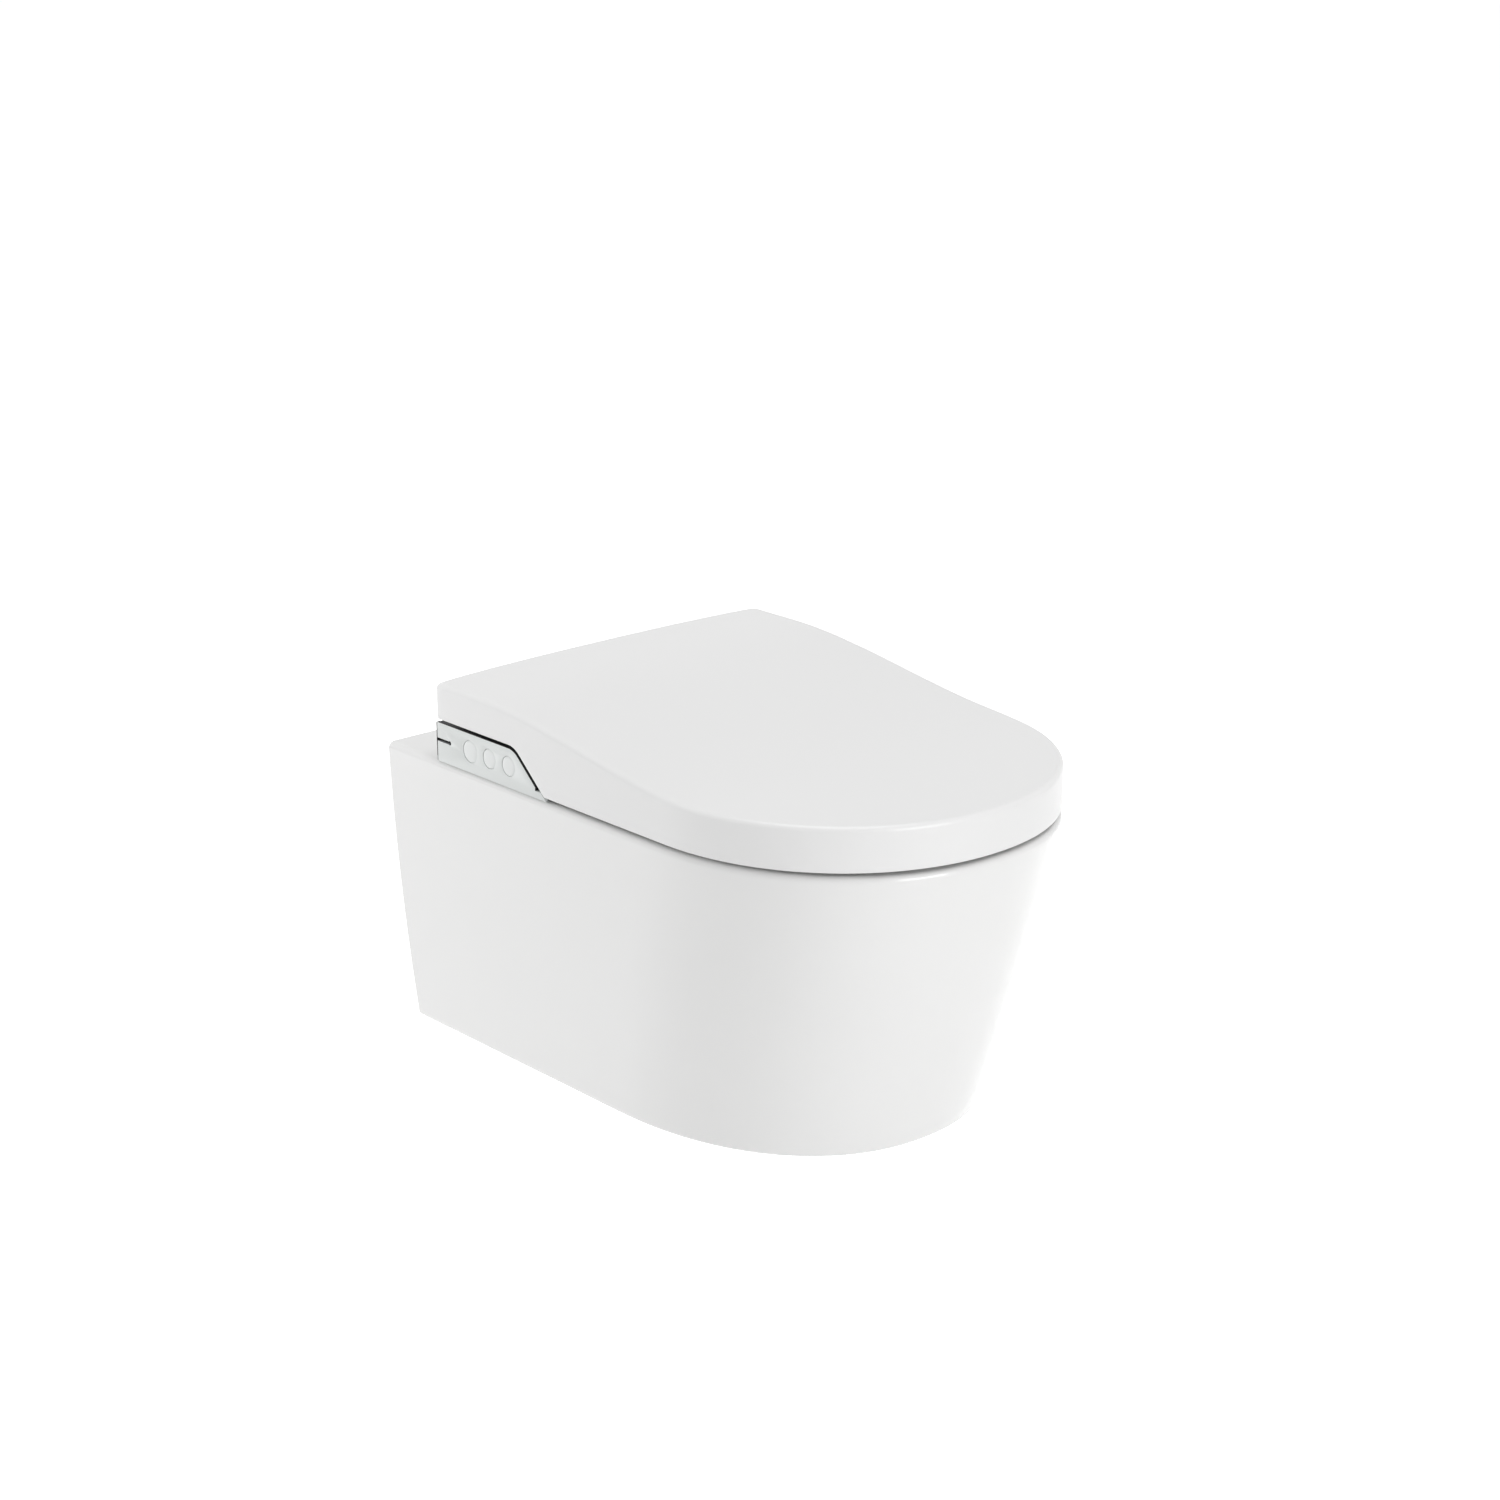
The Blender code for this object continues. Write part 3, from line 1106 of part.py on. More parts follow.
def make_fan_wheel(z):
    centre = Vector((FAN_X, FAN_Y, z))
    half = FAN_HALF_WIDTH
    disc = rod("fan_disc", (FAN_X + half - 2 * MM, FAN_Y, z), (FAN_X + half, FAN_Y, z), FAN_RADIUS, sides=24)
    hub = rod("fan_hub", (FAN_X - 1 * MM, FAN_Y, z), (FAN_X + half, FAN_Y, z), 4 * MM, sides=12)
    shaft = rod("fan_shaft", (FAN_X, FAN_Y, z), (FAN_X + half + 7 * MM, FAN_Y, z), 1.5 * MM, sides=10)
    pieces = [disc, hub, shaft]
    blades = 10
    for i in range(blades):
        turn = Matrix.Translation(centre) @ Matrix.Rotation(2 * math.pi * i / blades, 4, "X")
        blade = box("fan_blade", (-half, -0.6 * MM, FAN_RADIUS - 5 * MM),
                    (half - 1 * MM, 0.6 * MM, FAN_RADIUS - 0.8 * MM))
        blade.data.transform(turn @ Matrix.Rotation(math.radians(20), 4, "X"))
        pieces.append(blade)
    collect("fan_wheel", pieces, "grey_plastic", centre)


def make_dryer_duct(rear):
    low, high = RIM + DUCT_LOW, RIM + DUCT_HIGH
    duct = box("dryer_duct", (FAN_X - DUCT_HALF, HOUSE_FRONT, low), (FAN_X + DUCT_HALF, rear, high),
               "grey_plastic")
    wall = 2 * MM
    cut(duct, box("duct_room", (FAN_X - DUCT_HALF + wall, HOUSE_FRONT - 5 * MM, low + wall),
                  (FAN_X + DUCT_HALF - wall, rear + 5 * MM, high - wall)))


def flap_pivot():
    return Vector((FAN_X, HOUSE_FRONT - 1.9 * MM, RIM + DUCT_HIGH - 0.8 * MM))


def make_dryer_flap():
    pivot = flap_pivot()
    half = DUCT_HALF - 0.5 * MM
    leaf = box("flap_leaf", (FAN_X - half, pivot.y - 0.8 * MM, RIM + DUCT_LOW),
               (FAN_X + half, pivot.y + 0.8 * MM, pivot.z))
    bead = rod("flap_bead", (FAN_X - half, pivot.y, pivot.z), (FAN_X + half, pivot.y, pivot.z), 1.4 * MM,
               sides=12)
    collect("dryer_flap", [leaf, bead], "white_plastic", pivot)


# ---------------------------------------------------------------- water and electrics

def room_box(name, corners, finish=None, round_by=0.0):
    """A box from corners in millimetres, with heights above the rim."""
    low, high = [(x * MM, y * MM, RIM + up * MM) for x, y, up in corners]
    return box(name, low, high, finish, round_by=round_by)


def make_heater():
    body_front = HEATER_BOX[0][1] * MM + 1 * MM
    pieces = [room_box("heater_body", HEATER_BOX)]
    for x, up in (HEATER_INLET, HEATER_OUTLET):
        start, end = (x, body_front, RIM + up), (x, STUB_END_Y, RIM + up)
        pieces.append(rod("heater_stub", start, end, STUB_RADIUS, sides=14))
    collect("water_heater", pieces, "grey_plastic")


def make_pump():
    z = RIM + PUMP_UP
    motor = rod("pump_motor", (-140 * MM, PUMP_Y, z), (-112 * MM, PUMP_Y, z), PUMP_RADIUS, sides=20)
    head = room_box("pump_head", PUMP_HEAD_BOX)
    stub = rod("pump_stub", (PUMP_OUTLET_X, PUMP_Y + 10 * MM, z), (PUMP_OUTLET_X, PUMP_Y + 18 * MM, z),
               STUB_RADIUS, sides=14)
    collect("pump", [motor, head, stub], "grey_plastic")


def make_valve():
    (low_x, low_y, low), (high_x, high_y, high) = VALVE_BOX
    x, y, top = (low_x + high_x) / 2 * MM, (low_y + high_y) / 2 * MM, RIM + high * MM
    middle = RIM + (low + high) / 2 * MM
    coil = rod("valve_coil", (x, y, top - 1 * MM), (x, y, top + 18 * MM), 9 * MM, sides=18)
    stub = rod("valve_stub", (low_x * MM + 1 * MM, y, middle), (low_x * MM - 6 * MM, y, middle), STUB_RADIUS,
               sides=14)
    collect("inlet_valve", [room_box("valve_body", VALVE_BOX), coil, stub], "black_plastic")


def make_hoses():
    """Short silicone hoses, end to end with the stubs that they serve."""
    start, hose_end = PUMP_Y + 18 * MM + HOSE_GAP, STUB_END_Y - HOSE_GAP
    inlet_x, inlet_up = HEATER_INLET
    outlet_x, outlet_up = HEATER_OUTLET
    turns = ((-103, -160), (-106, -156.5), (-113.5, -154), (-121, -151.5), (-124, -148))
    route = [(PUMP_OUTLET_X, start), *[(x * MM, y * MM) for x, y in turns], (inlet_x, hose_end)]
    last = len(route) - 1
    pipe("heater_hose", [(x, y, RIM + blend(PUMP_UP, inlet_up, min(i / (last - 1), 1)))
                         for i, (x, y) in enumerate(route)], 3 * MM, "silicone", 2, between=1)
    turns = ((-76, -148, 0), (-73, -152, 0.5), (-66, -155, 1), (-57, -155, 2), (-48, -150, 4), (-41, -140, 6),
             (-36, -128, 8), (-34, -114, 11))
    end = nozzle_point(-1, WAND_LENGTH + 10 * MM)
    pipe("nozzle_hose", [(outlet_x, hose_end, RIM + outlet_up),
                         *[(x * MM, y * MM, RIM + outlet_up + up * MM) for x, y, up in turns],
                         (-34 * MM, end.y - 4 * MM, end.z - 7 * MM)], 2.5 * MM, "silicone", 2, between=1)


def make_electrics():
    board_top = BOARD_BOX[1][2]
    pieces = [room_box("board_panel", BOARD_BOX)]
    for x, y, side, tall in CHIPS:
        pieces.append(room_box("chip", ((x - side / 2, y - side / 2, board_top - 0.6),
                                        (x + side / 2, y + side / 2, board_top + tall))))
    collect("control_board", pieces, "board")
    room_box("power_supply", SUPPLY_BOX, "black_plastic", round_by=1.5 * MM)


def make_connectors():
    """Water and power come up through the pan's deck."""
    low = RIM + TRAY_LOW
    for name, side, finish in (("water_connector", 1, "brass"), ("power_gland", -1, "black_plastic")):
        x = side * SERVICE_X
        stem = rod("stem", (x, SERVICE_Y, RIM - 24 * MM), (x, SERVICE_Y, low + 12 * MM), SERVICE_RADIUS,
                   sides=18)
        floor = low + HOUSE_WALL
        collar = rod("collar", (x, SERVICE_Y, floor + GAP), (x, SERVICE_Y, floor + 5 * MM), 10.5 * MM, sides=6)
        piece = collect(name, [stem, collar], finish)
        cut(piece, rod("stem_bore", (x, SERVICE_Y, RIM - 30 * MM), (x, SERVICE_Y, low + 9 * MM), 4.5 * MM,
                       sides=14))


# ---------------------------------------------------------------- everything

def make_all():
    make_pan()
    make_stud_fixings()
    make_pipe_seals()
    make_plate()
    make_housing_base()
    make_front_pieces()
    make_housing_cover()
    make_side_panels()
    make_buttons()
    make_button_board()
    make_lid()
    make_seat_ring()
    make_ring_base()
    make_ring_heater()
    make_bumpers()
    make_hinge()
    for name, side in (("rear", -1), ("front", 1)):
        make_wand(name, side)
        make_pinion(name + "_pinion", side)
        make_nozzle_motor(name + "_nozzle_motor", side)
    make_nozzle_guide()
    make_dryer()
    make_heater()
    make_pump()
    make_valve()
    make_hoses()
    make_electrics()
    make_connectors()


make_all()
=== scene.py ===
import json
import math

import bmesh
import bpy
from mathutils import Matrix, Vector

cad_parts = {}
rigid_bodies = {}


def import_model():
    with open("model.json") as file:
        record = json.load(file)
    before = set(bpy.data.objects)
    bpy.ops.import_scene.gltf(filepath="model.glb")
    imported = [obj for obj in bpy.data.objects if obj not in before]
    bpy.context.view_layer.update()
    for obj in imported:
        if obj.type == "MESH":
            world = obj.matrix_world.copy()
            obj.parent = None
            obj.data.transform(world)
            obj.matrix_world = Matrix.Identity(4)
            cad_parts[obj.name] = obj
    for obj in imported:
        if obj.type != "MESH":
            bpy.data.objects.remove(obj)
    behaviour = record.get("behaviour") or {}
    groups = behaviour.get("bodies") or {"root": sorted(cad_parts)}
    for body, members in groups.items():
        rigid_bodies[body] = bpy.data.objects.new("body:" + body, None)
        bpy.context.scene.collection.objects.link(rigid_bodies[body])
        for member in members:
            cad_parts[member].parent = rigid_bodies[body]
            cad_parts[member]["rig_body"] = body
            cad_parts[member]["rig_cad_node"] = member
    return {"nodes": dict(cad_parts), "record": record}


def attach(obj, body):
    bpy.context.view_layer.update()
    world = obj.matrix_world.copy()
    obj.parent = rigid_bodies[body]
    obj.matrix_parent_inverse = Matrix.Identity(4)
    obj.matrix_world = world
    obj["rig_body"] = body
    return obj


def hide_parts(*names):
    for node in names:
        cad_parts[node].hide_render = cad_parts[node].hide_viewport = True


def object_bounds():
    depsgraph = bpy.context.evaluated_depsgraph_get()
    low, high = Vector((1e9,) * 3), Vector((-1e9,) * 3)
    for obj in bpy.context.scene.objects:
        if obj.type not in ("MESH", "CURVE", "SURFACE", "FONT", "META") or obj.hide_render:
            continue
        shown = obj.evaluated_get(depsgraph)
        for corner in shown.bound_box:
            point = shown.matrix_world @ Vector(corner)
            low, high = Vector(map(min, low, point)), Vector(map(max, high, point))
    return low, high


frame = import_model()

# Wall-hung pan with a built-in electric bidet seat: finished surfaces and materials.
# The wall is the plane y = 0, the front points to -Y, and sizes are in metres.

CAD_LOW, CAD_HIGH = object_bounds()
MM = 0.001

# Pan
FOOT = CAD_LOW.z
RIM = 80 * MM
PAN_HEIGHT = RIM - FOOT
PAN_HALF = 184.3 * MM
PAN_FRONT = -562.8 * MM
PAN_STRAIGHT = -350 * MM
FOOT_HALF = 161.2 * MM
FOOT_FRONT = -491 * MM
FOOT_STRAIGHT = -282 * MM
PAN_BULGE = 3.4 * MM
PAN_POWER = 2.2
PAN_WALL = 12 * MM
RIM_ROUND = 6 * MM
FOOT_ROUND = 4 * MM
BOWL_HALF = 138 * MM
BOWL_REAR = -205 * MM
BOWL_FRONT = -515 * MM
BOWL_FLOOR = -144 * MM
BOWL_POWER = 2.3
BOWL_ROUND = 6 * MM
SUMP_HALF = 20 * MM
SUMP_REAR = -318 * MM
SUMP_FRONT = -362 * MM

# What the wall frame's fittings go into
STUD_X = 90 * MM
STUD_HOLE = 8 * MM
BOSS_HALF = 22 * MM
BOSS_DEPTH = 85 * MM
WEB_HALF = 120 * MM
WEB_DEPTH = 14 * MM
OUTLET_Z = -100 * MM
OUTLET_RADIUS = 51 * MM
OUTLET_DEPTH = 50 * MM
FLUSH_Z = 35 * MM
FLUSH_RADIUS = 27.5 * MM
FLUSH_DEPTH = 60 * MM
FLUSH_PASSAGE = 22 * MM
SEAL_FACE = -3 * MM
TRAP_RADIUS = 26 * MM
# Centre line of the trap, as y and z in millimetres
TRAP_LINE = ((-335, -118), (-300, -123), (-262, -126), (-230, -114), (-202, -88), (-176, -65),
             (-148, -56), (-118, -69), (-88, -91), (-52, -100), (-20, -100))
ACCESS_HALF = 24 * MM
ACCESS_REAR = -92 * MM
ACCESS_FRONT = -150 * MM
ACCESS_ROUND = 4 * MM
PLATE_HOLE = (60 * MM, -172 * MM)
PLATE_HOLE_RADIUS = 6.8 * MM
SERVICE_HOLE = (50 * MM, -110 * MM)
SERVICE_HOLE_RADIUS = 10 * MM
SEAL_WALL = 5 * MM
SEAL_LIP = 1.5 * MM
SEALS = (("outlet_seal", OUTLET_Z, OUTLET_RADIUS, 26 * MM), ("flush_seal", FLUSH_Z, FLUSH_RADIUS, 20 * MM))

# Lid: heights are above the rim
LID_HALF = 183.8 * MM
LID_FRONT = -561 * MM
LID_STRAIGHT = -372 * MM
LID_POWER = 2.08
LID_REAR = -62.5 * MM
LID_REAR_BOW = 8 * MM
LID_CORNER = 5 * MM
LID_TOP_REAR = 70.4 * MM
LID_TOP_FRONT = 41.4 * MM
LID_FALL_START = -128 * MM
LID_FALL_END = -414 * MM
LID_STATIONS = (-90 * MM, -100 * MM, -112 * MM, LID_FALL_START, -140 * MM, -152 * MM, -164 * MM)
LID_TIERS = (0.15, 0.5, 0.85)
LID_LOW = 4 * MM
LID_EDGE = 5 * MM
LID_LIP = 0.4 * MM
LID_WALL = 4 * MM
LID_INNER_ROUND = 3 * MM
LID_CHAMFER = 3.2 * MM
LID_BORE_END = 182 * MM
BOSS_RADIUS = 9 * MM
BOSS_GAP = 0.5 * MM
BOSS_INTO_LID = 1.2 * MM

# Line where lid and side panel part
PART_UP = 37.1 * MM
PART_BEND = -172.4 * MM
PART_RADIUS = 20 * MM
PART_SLOPE = math.radians(41.7)
PART_GAP = 3.1 * MM

# Hinge, seat ring and housing
HINGE_Y = -82 * MM
HINGE_UP = 52 * MM
PIN_RADIUS = 3.5 * MM
BORE_CLEAR = 0.3 * MM
KNUCKLE = 10 * MM
RING_HALF = 175.8 * MM
RING_FRONT = -553.5 * MM
RING_REAR = -222 * MM
RING_LOW = 6 * MM
RING_BRIDGE_LOW = 26 * MM
RING_BRIDGE_HALF = 104 * MM
RING_UNDER_LID = 9 * MM
RING_TOP_MOST = 53 * MM
RING_WALL = 3.5 * MM
RING_EDGE = 8 * MM
RING_CORNER = 10 * MM
OPENING_HALF = 105 * MM
OPENING_REAR = -247 * MM
OPENING_FRONT = -495 * MM
OPENING_POWER = 2.5
ARM_INNER = 152.5 * MM
GAP = 0.3 * MM
HOUSE_REAR = -72.5 * MM
HOUSE_FRONT = -216 * MM
HOUSE_HALF = 149 * MM
HOUSE_WALL = 2.5 * MM
COVER_TOP = 64 * MM
COVER_REACH = 52 * MM
SHOULDER_HALF = 180.3 * MM

# Buttons and slot on the left panel
BUTTON_Z = RIM + 19.6 * MM
BUTTONS = {"button_rear": (-119.3 * MM, 9.5 * MM), "button_middle": (-145.8 * MM, 8.5 * MM),
           "button_front": (-172.2 * MM, 8.5 * MM)}
BUTTON_CLEAR = 0.35 * MM
KEY_CROWN = 0.5 * MM
SLOT_Z = BUTTON_Z + 0.6 * MM
SLOT_END = -90.6 * MM
SLOT_HALF = 1.4 * MM
PANEL_LOW = 0.8 * MM
TOE_UP = 7 * MM
TOE_CLEAR = 0.45 * MM
STEP_UP = 3 * MM
STEP_BACK = 0.4 * MM
PANEL_SOFT = 0.2 * MM
# Width of the black strip down each panel's rear: painted shade for the gap there, beside the real black
# shoulder
REAR_DARK_STRIP = 0.7 * MM

# How far shapes reach past what they cut, and how far joined shapes end inside the pan's back
PAST = 5 * MM
PAST_WALL = 10 * MM
WELL_PAST = 20 * MM
INTO_WEB = 1 * MM

FRONT_POINTS = 44
MERGE = 1e-5

# Edges up to these angles, in degrees, are shaded as smooth
SMOOTH_SHELL = 28
SMOOTH_PART = 30
SMOOTH_PANEL = 32
SMOOTH_KEY = 35

# Stage, light and camera
FLOOR_Z = RIM - 400 * MM  # the usual height of a pan's rim above the floor
FLOOR_GLOW = 0.74
WORLD_GLOW = 0.322
LAMP_AIM = (0, -280 * MM, 0)
# Name, place, size, power, and whether it is reflected
LAMPS = (("front_light", (0, -3.18, 0.78), 1.4, 31.8, True),
         ("rear_left_light", (-1.45, 2.23, 0.78), 1.4, 38.5, False),
         ("near_left_light", (-2.51, -1.73, 0.78), 1.4, 8.9, False),
         ("right_light", (2.9, -0.28, 0.78), 1.4, 7, False),
         ("top_light", (0, -0.28, 3), 2, 34.2, True))
CAMERA_LENS = 72.16
CAMERA_SENSOR = 36
CAMERA_PLACE = (-1.6253, -2.0784, 0.8885)
CAMERA_AXES = ((0.7439, -0.6683, 0), (0.2067, 0.23, 0.951), (-0.6356, -0.7074, 0.3093))  # right, up, back


# ---------------------------------------------------------------- modelling helpers

def deselect():
    if bpy.context.mode != "OBJECT":
        bpy.ops.object.mode_set(mode="OBJECT")
    bpy.ops.object.select_all(action="DESELECT")


def choose(piece):
    deselect()
    piece.select_set(True)
    bpy.context.view_layer.objects.active = piece


def named(name):
    """Names the object that an operator has just made, with its place put into its mesh."""
    piece = bpy.context.object
    piece.name = name
    piece.data.name = name
    bpy.ops.object.transform_apply(location=True, rotation=True, scale=True)
    return piece


def tidy_mesh(piece, merge=MERGE):
    choose(piece)
    bpy.ops.object.mode_set(mode="EDIT")
    bpy.ops.mesh.select_all(action="SELECT")
    bpy.ops.mesh.remove_doubles(threshold=merge)
    bpy.ops.mesh.dissolve_degenerate(threshold=merge)
    bpy.ops.mesh.normals_make_consistent(inside=False)
    bpy.ops.object.mode_set(mode="OBJECT")
    return piece


def loft(name, loops):
    """A closed skin through loops with one point count.

    A circle is placed on the first loop and extruded to the rest.
    """
    deselect()
    bpy.ops.mesh.primitive_circle_add(vertices=len(loops[0]), radius=1)
    piece = named(name)
    for vertex, point in zip(piece.data.vertices, loops[0]):
        vertex.co = point
    choose(piece)
    bpy.ops.object.mode_set(mode="EDIT")
    bpy.ops.mesh.select_all(action="SELECT")
    work = bmesh.from_edit_mesh(piece.data)
    work.verts.ensure_lookup_table()
    row = list(work.verts)
    for loop in loops[1:]:
        bpy.ops.mesh.extrude_region_move()
        work = bmesh.from_edit_mesh(piece.data)
        work.verts.ensure_lookup_table()
        old = [work.verts[v.index] for v in row]
        row = []
        for before, point in zip(old, loop):
            after = next(e.other_vert(before) for e in before.link_edges if e.other_vert(before).select)
            after.co = point
            row.append(after)
        bmesh.update_edit_mesh(piece.data)
    bpy.ops.object.mode_set(mode="OBJECT")
    return tidy_mesh(piece)


def cap_columns(loop):
    """Loops that close a loop with strips straight across, so the cap may rise and fall with y."""
    return [[Vector((p.x * share, p.y, p.z)) for p in loop] for share in (0.99, 0.93, 0.7, 0.4, 0.0)]


def capped(name, loops):
    """A loft with both its ends closed."""
    return loft(name, cap_columns(loops[0])[::-1] + loops + cap_columns(loops[-1]))


def both_sides(left):
    """A closed loop from its left half, back to front."""
    right = [Vector((-p.x, p.y, p.z)) for p in reversed(left) if abs(p.x) > MERGE]
    return [Vector(p) for p in left] + right


def slab(name, points, low_x, high_x):
    """A side view outline, as (y, z), filled and extruded across."""
    deselect()
    bpy.ops.mesh.primitive_circle_add(vertices=len(points), radius=1, fill_type="NGON")
    piece = named(name)
    for vertex, (y, z) in zip(piece.data.vertices, points):
        vertex.co = (low_x, y, z)
    choose(piece)
    bpy.ops.object.mode_set(mode="EDIT")
    bpy.ops.mesh.select_all(action="SELECT")
    bpy.ops.mesh.extrude_region_move(TRANSFORM_OT_translate={"value": (high_x - low_x, 0, 0)})
    bpy.ops.mesh.select_all(action="SELECT")
    bpy.ops.mesh.normals_make_consistent(inside=False)
    bpy.ops.object.mode_set(mode="OBJECT")
    return piece


def block(name, low, high):
    low, high = Vector(low), Vector(high)
    deselect()
    bpy.ops.mesh.primitive_cube_add(size=1, location=(low + high) / 2, scale=high - low)
    return named(name)


def drum(name, start, end, radius, sides=48):
    start, end = Vector(start), Vector(end)
    turn = (end - start).to_track_quat("Z", "Y").to_euler()
    deselect()
    bpy.ops.mesh.primitive_cylinder_add(vertices=sides, radius=radius, depth=(end - start).length,
                                        location=(start + end) / 2, rotation=turn)
    return named(name)


def tube(name, points, radius):
    """A closed pipe along a smooth line."""
    deselect()
    bpy.ops.curve.primitive_bezier_curve_add()
    line = bpy.context.object
    line.matrix_world = Matrix.Identity(4)
    data = line.data
    data.splines.clear()
    spline = data.splines.new("BEZIER")
    spline.bezier_points.add(len(points) - 1)
    for spot, place in zip(spline.bezier_points, points):
        spot.co = place
        spot.handle_left_type = spot.handle_right_type = "AUTO"
    data.bevel_depth = radius
    data.bevel_resolution = 8
    data.resolution_u = 5
    data.use_fill_caps = True
    bpy.ops.object.convert(target="MESH")
    return tidy_mesh(named(name))


def combine(piece, others, operation):
    """Applies Booleans one by one and removes the shapes that they used."""
    for other in others:
        choose(piece)
        step = piece.modifiers.new("shape", "BOOLEAN")
        step.object = other
        step.operation = operation
        step.solver = "EXACT"
        bpy.ops.object.modifier_apply(modifier=step.name)
        bpy.data.objects.remove(other)
    return piece


def cut(piece, *others):
    return combine(piece, others, "DIFFERENCE")


def join(piece, *others):
    return combine(piece, others, "UNION")


def soften(piece, width, segments=3, angle=40):
    """Rounds the piece's sharp edges."""
    choose(piece)
    step = piece.modifiers.new("soft_edges", "BEVEL")
    step.width = width
    step.segments = segments
    step.limit_method = "ANGLE"
    step.angle_limit = math.radians(angle)
    bpy.ops.object.modifier_apply(modifier=step.name)
    return piece


def smooth(piece, angle=SMOOTH_PANEL):
    choose(piece)
    bpy.ops.object.shade_smooth_by_angle(angle=math.radians(angle))
    return piece


def settle(piece, body, slot, *nodes, paint=None):
    """Gives a finished piece its body and its finish, and hides the nodes that it stands for."""
    piece.data.materials.clear()
    piece.data.materials.append(FINISH[paint or slot])
    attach(piece, body)
    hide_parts(*nodes)
    return piece


# ---------------------------------------------------------------- shared shapes

def blend(low, high, t):
    return low + (high - low) * t


def ease(value, start, end):
    t = min(max((value - start) / (end - start), 0), 1)
    return t * t * (3 - 2 * t)


def spread_out(start, end, count):
    """Values from start up to, but not including, end."""
    return [blend(start, end, i / count) for i in range(count)]


def quarter(count):
    return [math.pi / 2 * i / count for i in range(count + 1)]


def corner(radius, count):
    """A quarter circle, as distances along its first edge and from its second."""
    return [(radius * (1 - math.cos(a)), radius * (1 - math.sin(a))) for a in quarter(count)]


def circle(radius, sides):
    return [(radius * math.cos(2 * math.pi * i / sides), radius * math.sin(2 * math.pi * i / sides))
            for i in range(sides)]


def curved_front(half, straight, front, power, count=FRONT_POINTS):
    points = []
    for i, angle in enumerate(quarter(count)):
        x = -half * math.cos(angle) ** (2 / power) if i < count else 0.0
        points.append((x, straight + (front - straight) * math.sin(angle) ** (2 / power)))
    return points


def oval_half(half, rear, front, power, count=48):
    centre, reach = (rear + front) / 2, (rear - front) / 2
    points = []
    for i in range(count + 1):
        angle = math.pi * i / count
        across, along = math.sin(angle), math.cos(angle)
        x = -half * across ** (2 / power) if 0 < i < count else 0.0
        points.append((x, centre + math.copysign(reach * abs(along) ** (2 / power), along)))
    return points


def at_height(outline, z):
    return both_sides([Vector((x, y, z)) for x, y in outline])


def lid_top(y):
    return blend(LID_TOP_REAR, LID_TOP_FRONT, ease(y, LID_FALL_START, LID_FALL_END))


def part_line(offset, lowest, count=14):
    """The parting line moved out by offset, as (y, z), from its bend down to a height above the rim."""
    radius = PART_RADIUS + offset
    centre_z = RIM + PART_UP - PART_RADIUS
    points = []
    for i in range(count + 1):
        angle = PART_SLOPE * i / count
        points.append((PART_BEND - radius * math.sin(angle), centre_z + radius * math.cos(angle)))
    end_y, end_z = points[-1]
    drop = end_z - (RIM + lowest)
    points.append((end_y - drop / math.tan(PART_SLOPE), RIM + lowest))
    return points


def hinge_point(x):
    return Vector((x, HINGE_Y, RIM + HINGE_UP))


# ---------------------------------------------------------------- finishes

def new_node(tree, kind, **values):
    made = tree.nodes.new(kind)
    for name, value in values.items():
        made.inputs[name.replace("_", " ")].default_value = value
    return made


def finish(name, colour, roughness, metallic=0.0, coat=0.0, coat_roughness=0.03, tint=0.02, tint_scale=9.0,
           grain=0.0, grain_scale=900.0, stretch=(1, 1, 1), wear=0.04, specular=0.5):
    """A surface with slight colour drift, uneven roughness and a fine grain, all read from the object."""
    made = bpy.data.materials.new(name)
    made.use_nodes = True
    tree = made.node_tree
    shader = tree.nodes["Principled BSDF"]
    shader.inputs["Metallic"].default_value = metallic
    shader.inputs["Coat Weight"].default_value = coat
    shader.inputs["Coat Roughness"].default_value = coat_roughness
    shader.inputs["Specular IOR Level"].default_value = specular
    place = tree.nodes.new("ShaderNodeTexCoord")
    scale = new_node(tree, "ShaderNodeMapping", Scale=stretch)
    tree.links.new(place.outputs["Object"], scale.inputs["Vector"])
    drift = new_node(tree, "ShaderNodeTexNoise", Scale=tint_scale, Detail=3.0)
    tree.links.new(scale.outputs["Vector"], drift.inputs["Vector"])
    ramp = tree.nodes.new("ShaderNodeValToRGB")
    ramp.color_ramp.elements[0].position = 0.3
    ramp.color_ramp.elements[1].position = 0.7
    for element, share in zip(ramp.color_ramp.elements, (1 - tint, 1 + tint)):
        element.color = (*[min(channel * share, 1.0) for channel in colour], 1.0)
    tree.links.new(drift.outputs["Fac"], ramp.inputs["Fac"])
    tree.links.new(ramp.outputs["Color"], shader.inputs["Base Color"])
    spread = tree.nodes.new("ShaderNodeMapRange")
    spread.inputs["To Min"].default_value = max(roughness - wear, 0.02)
    spread.inputs["To Max"].default_value = roughness + wear
    rub = new_node(tree, "ShaderNodeTexNoise", Scale=tint_scale * 4, Detail=4.0)
    tree.links.new(scale.outputs["Vector"], rub.inputs["Vector"])
    tree.links.new(rub.outputs["Fac"], spread.inputs["Value"])
    tree.links.new(spread.outputs["Result"], shader.inputs["Roughness"])
    if grain:
        fine = new_node(tree, "ShaderNodeTexNoise", Scale=grain_scale, Detail=2.0)
        tree.links.new(scale.outputs["Vector"], fine.inputs["Vector"])
        bump = new_node(tree, "ShaderNodeBump", Strength=grain, Distance=0.0002)
        tree.links.new(fine.outputs["Fac"], bump.inputs["Height"])
        tree.links.new(bump.outputs["Normal"], shader.inputs["Normal"])
    return made


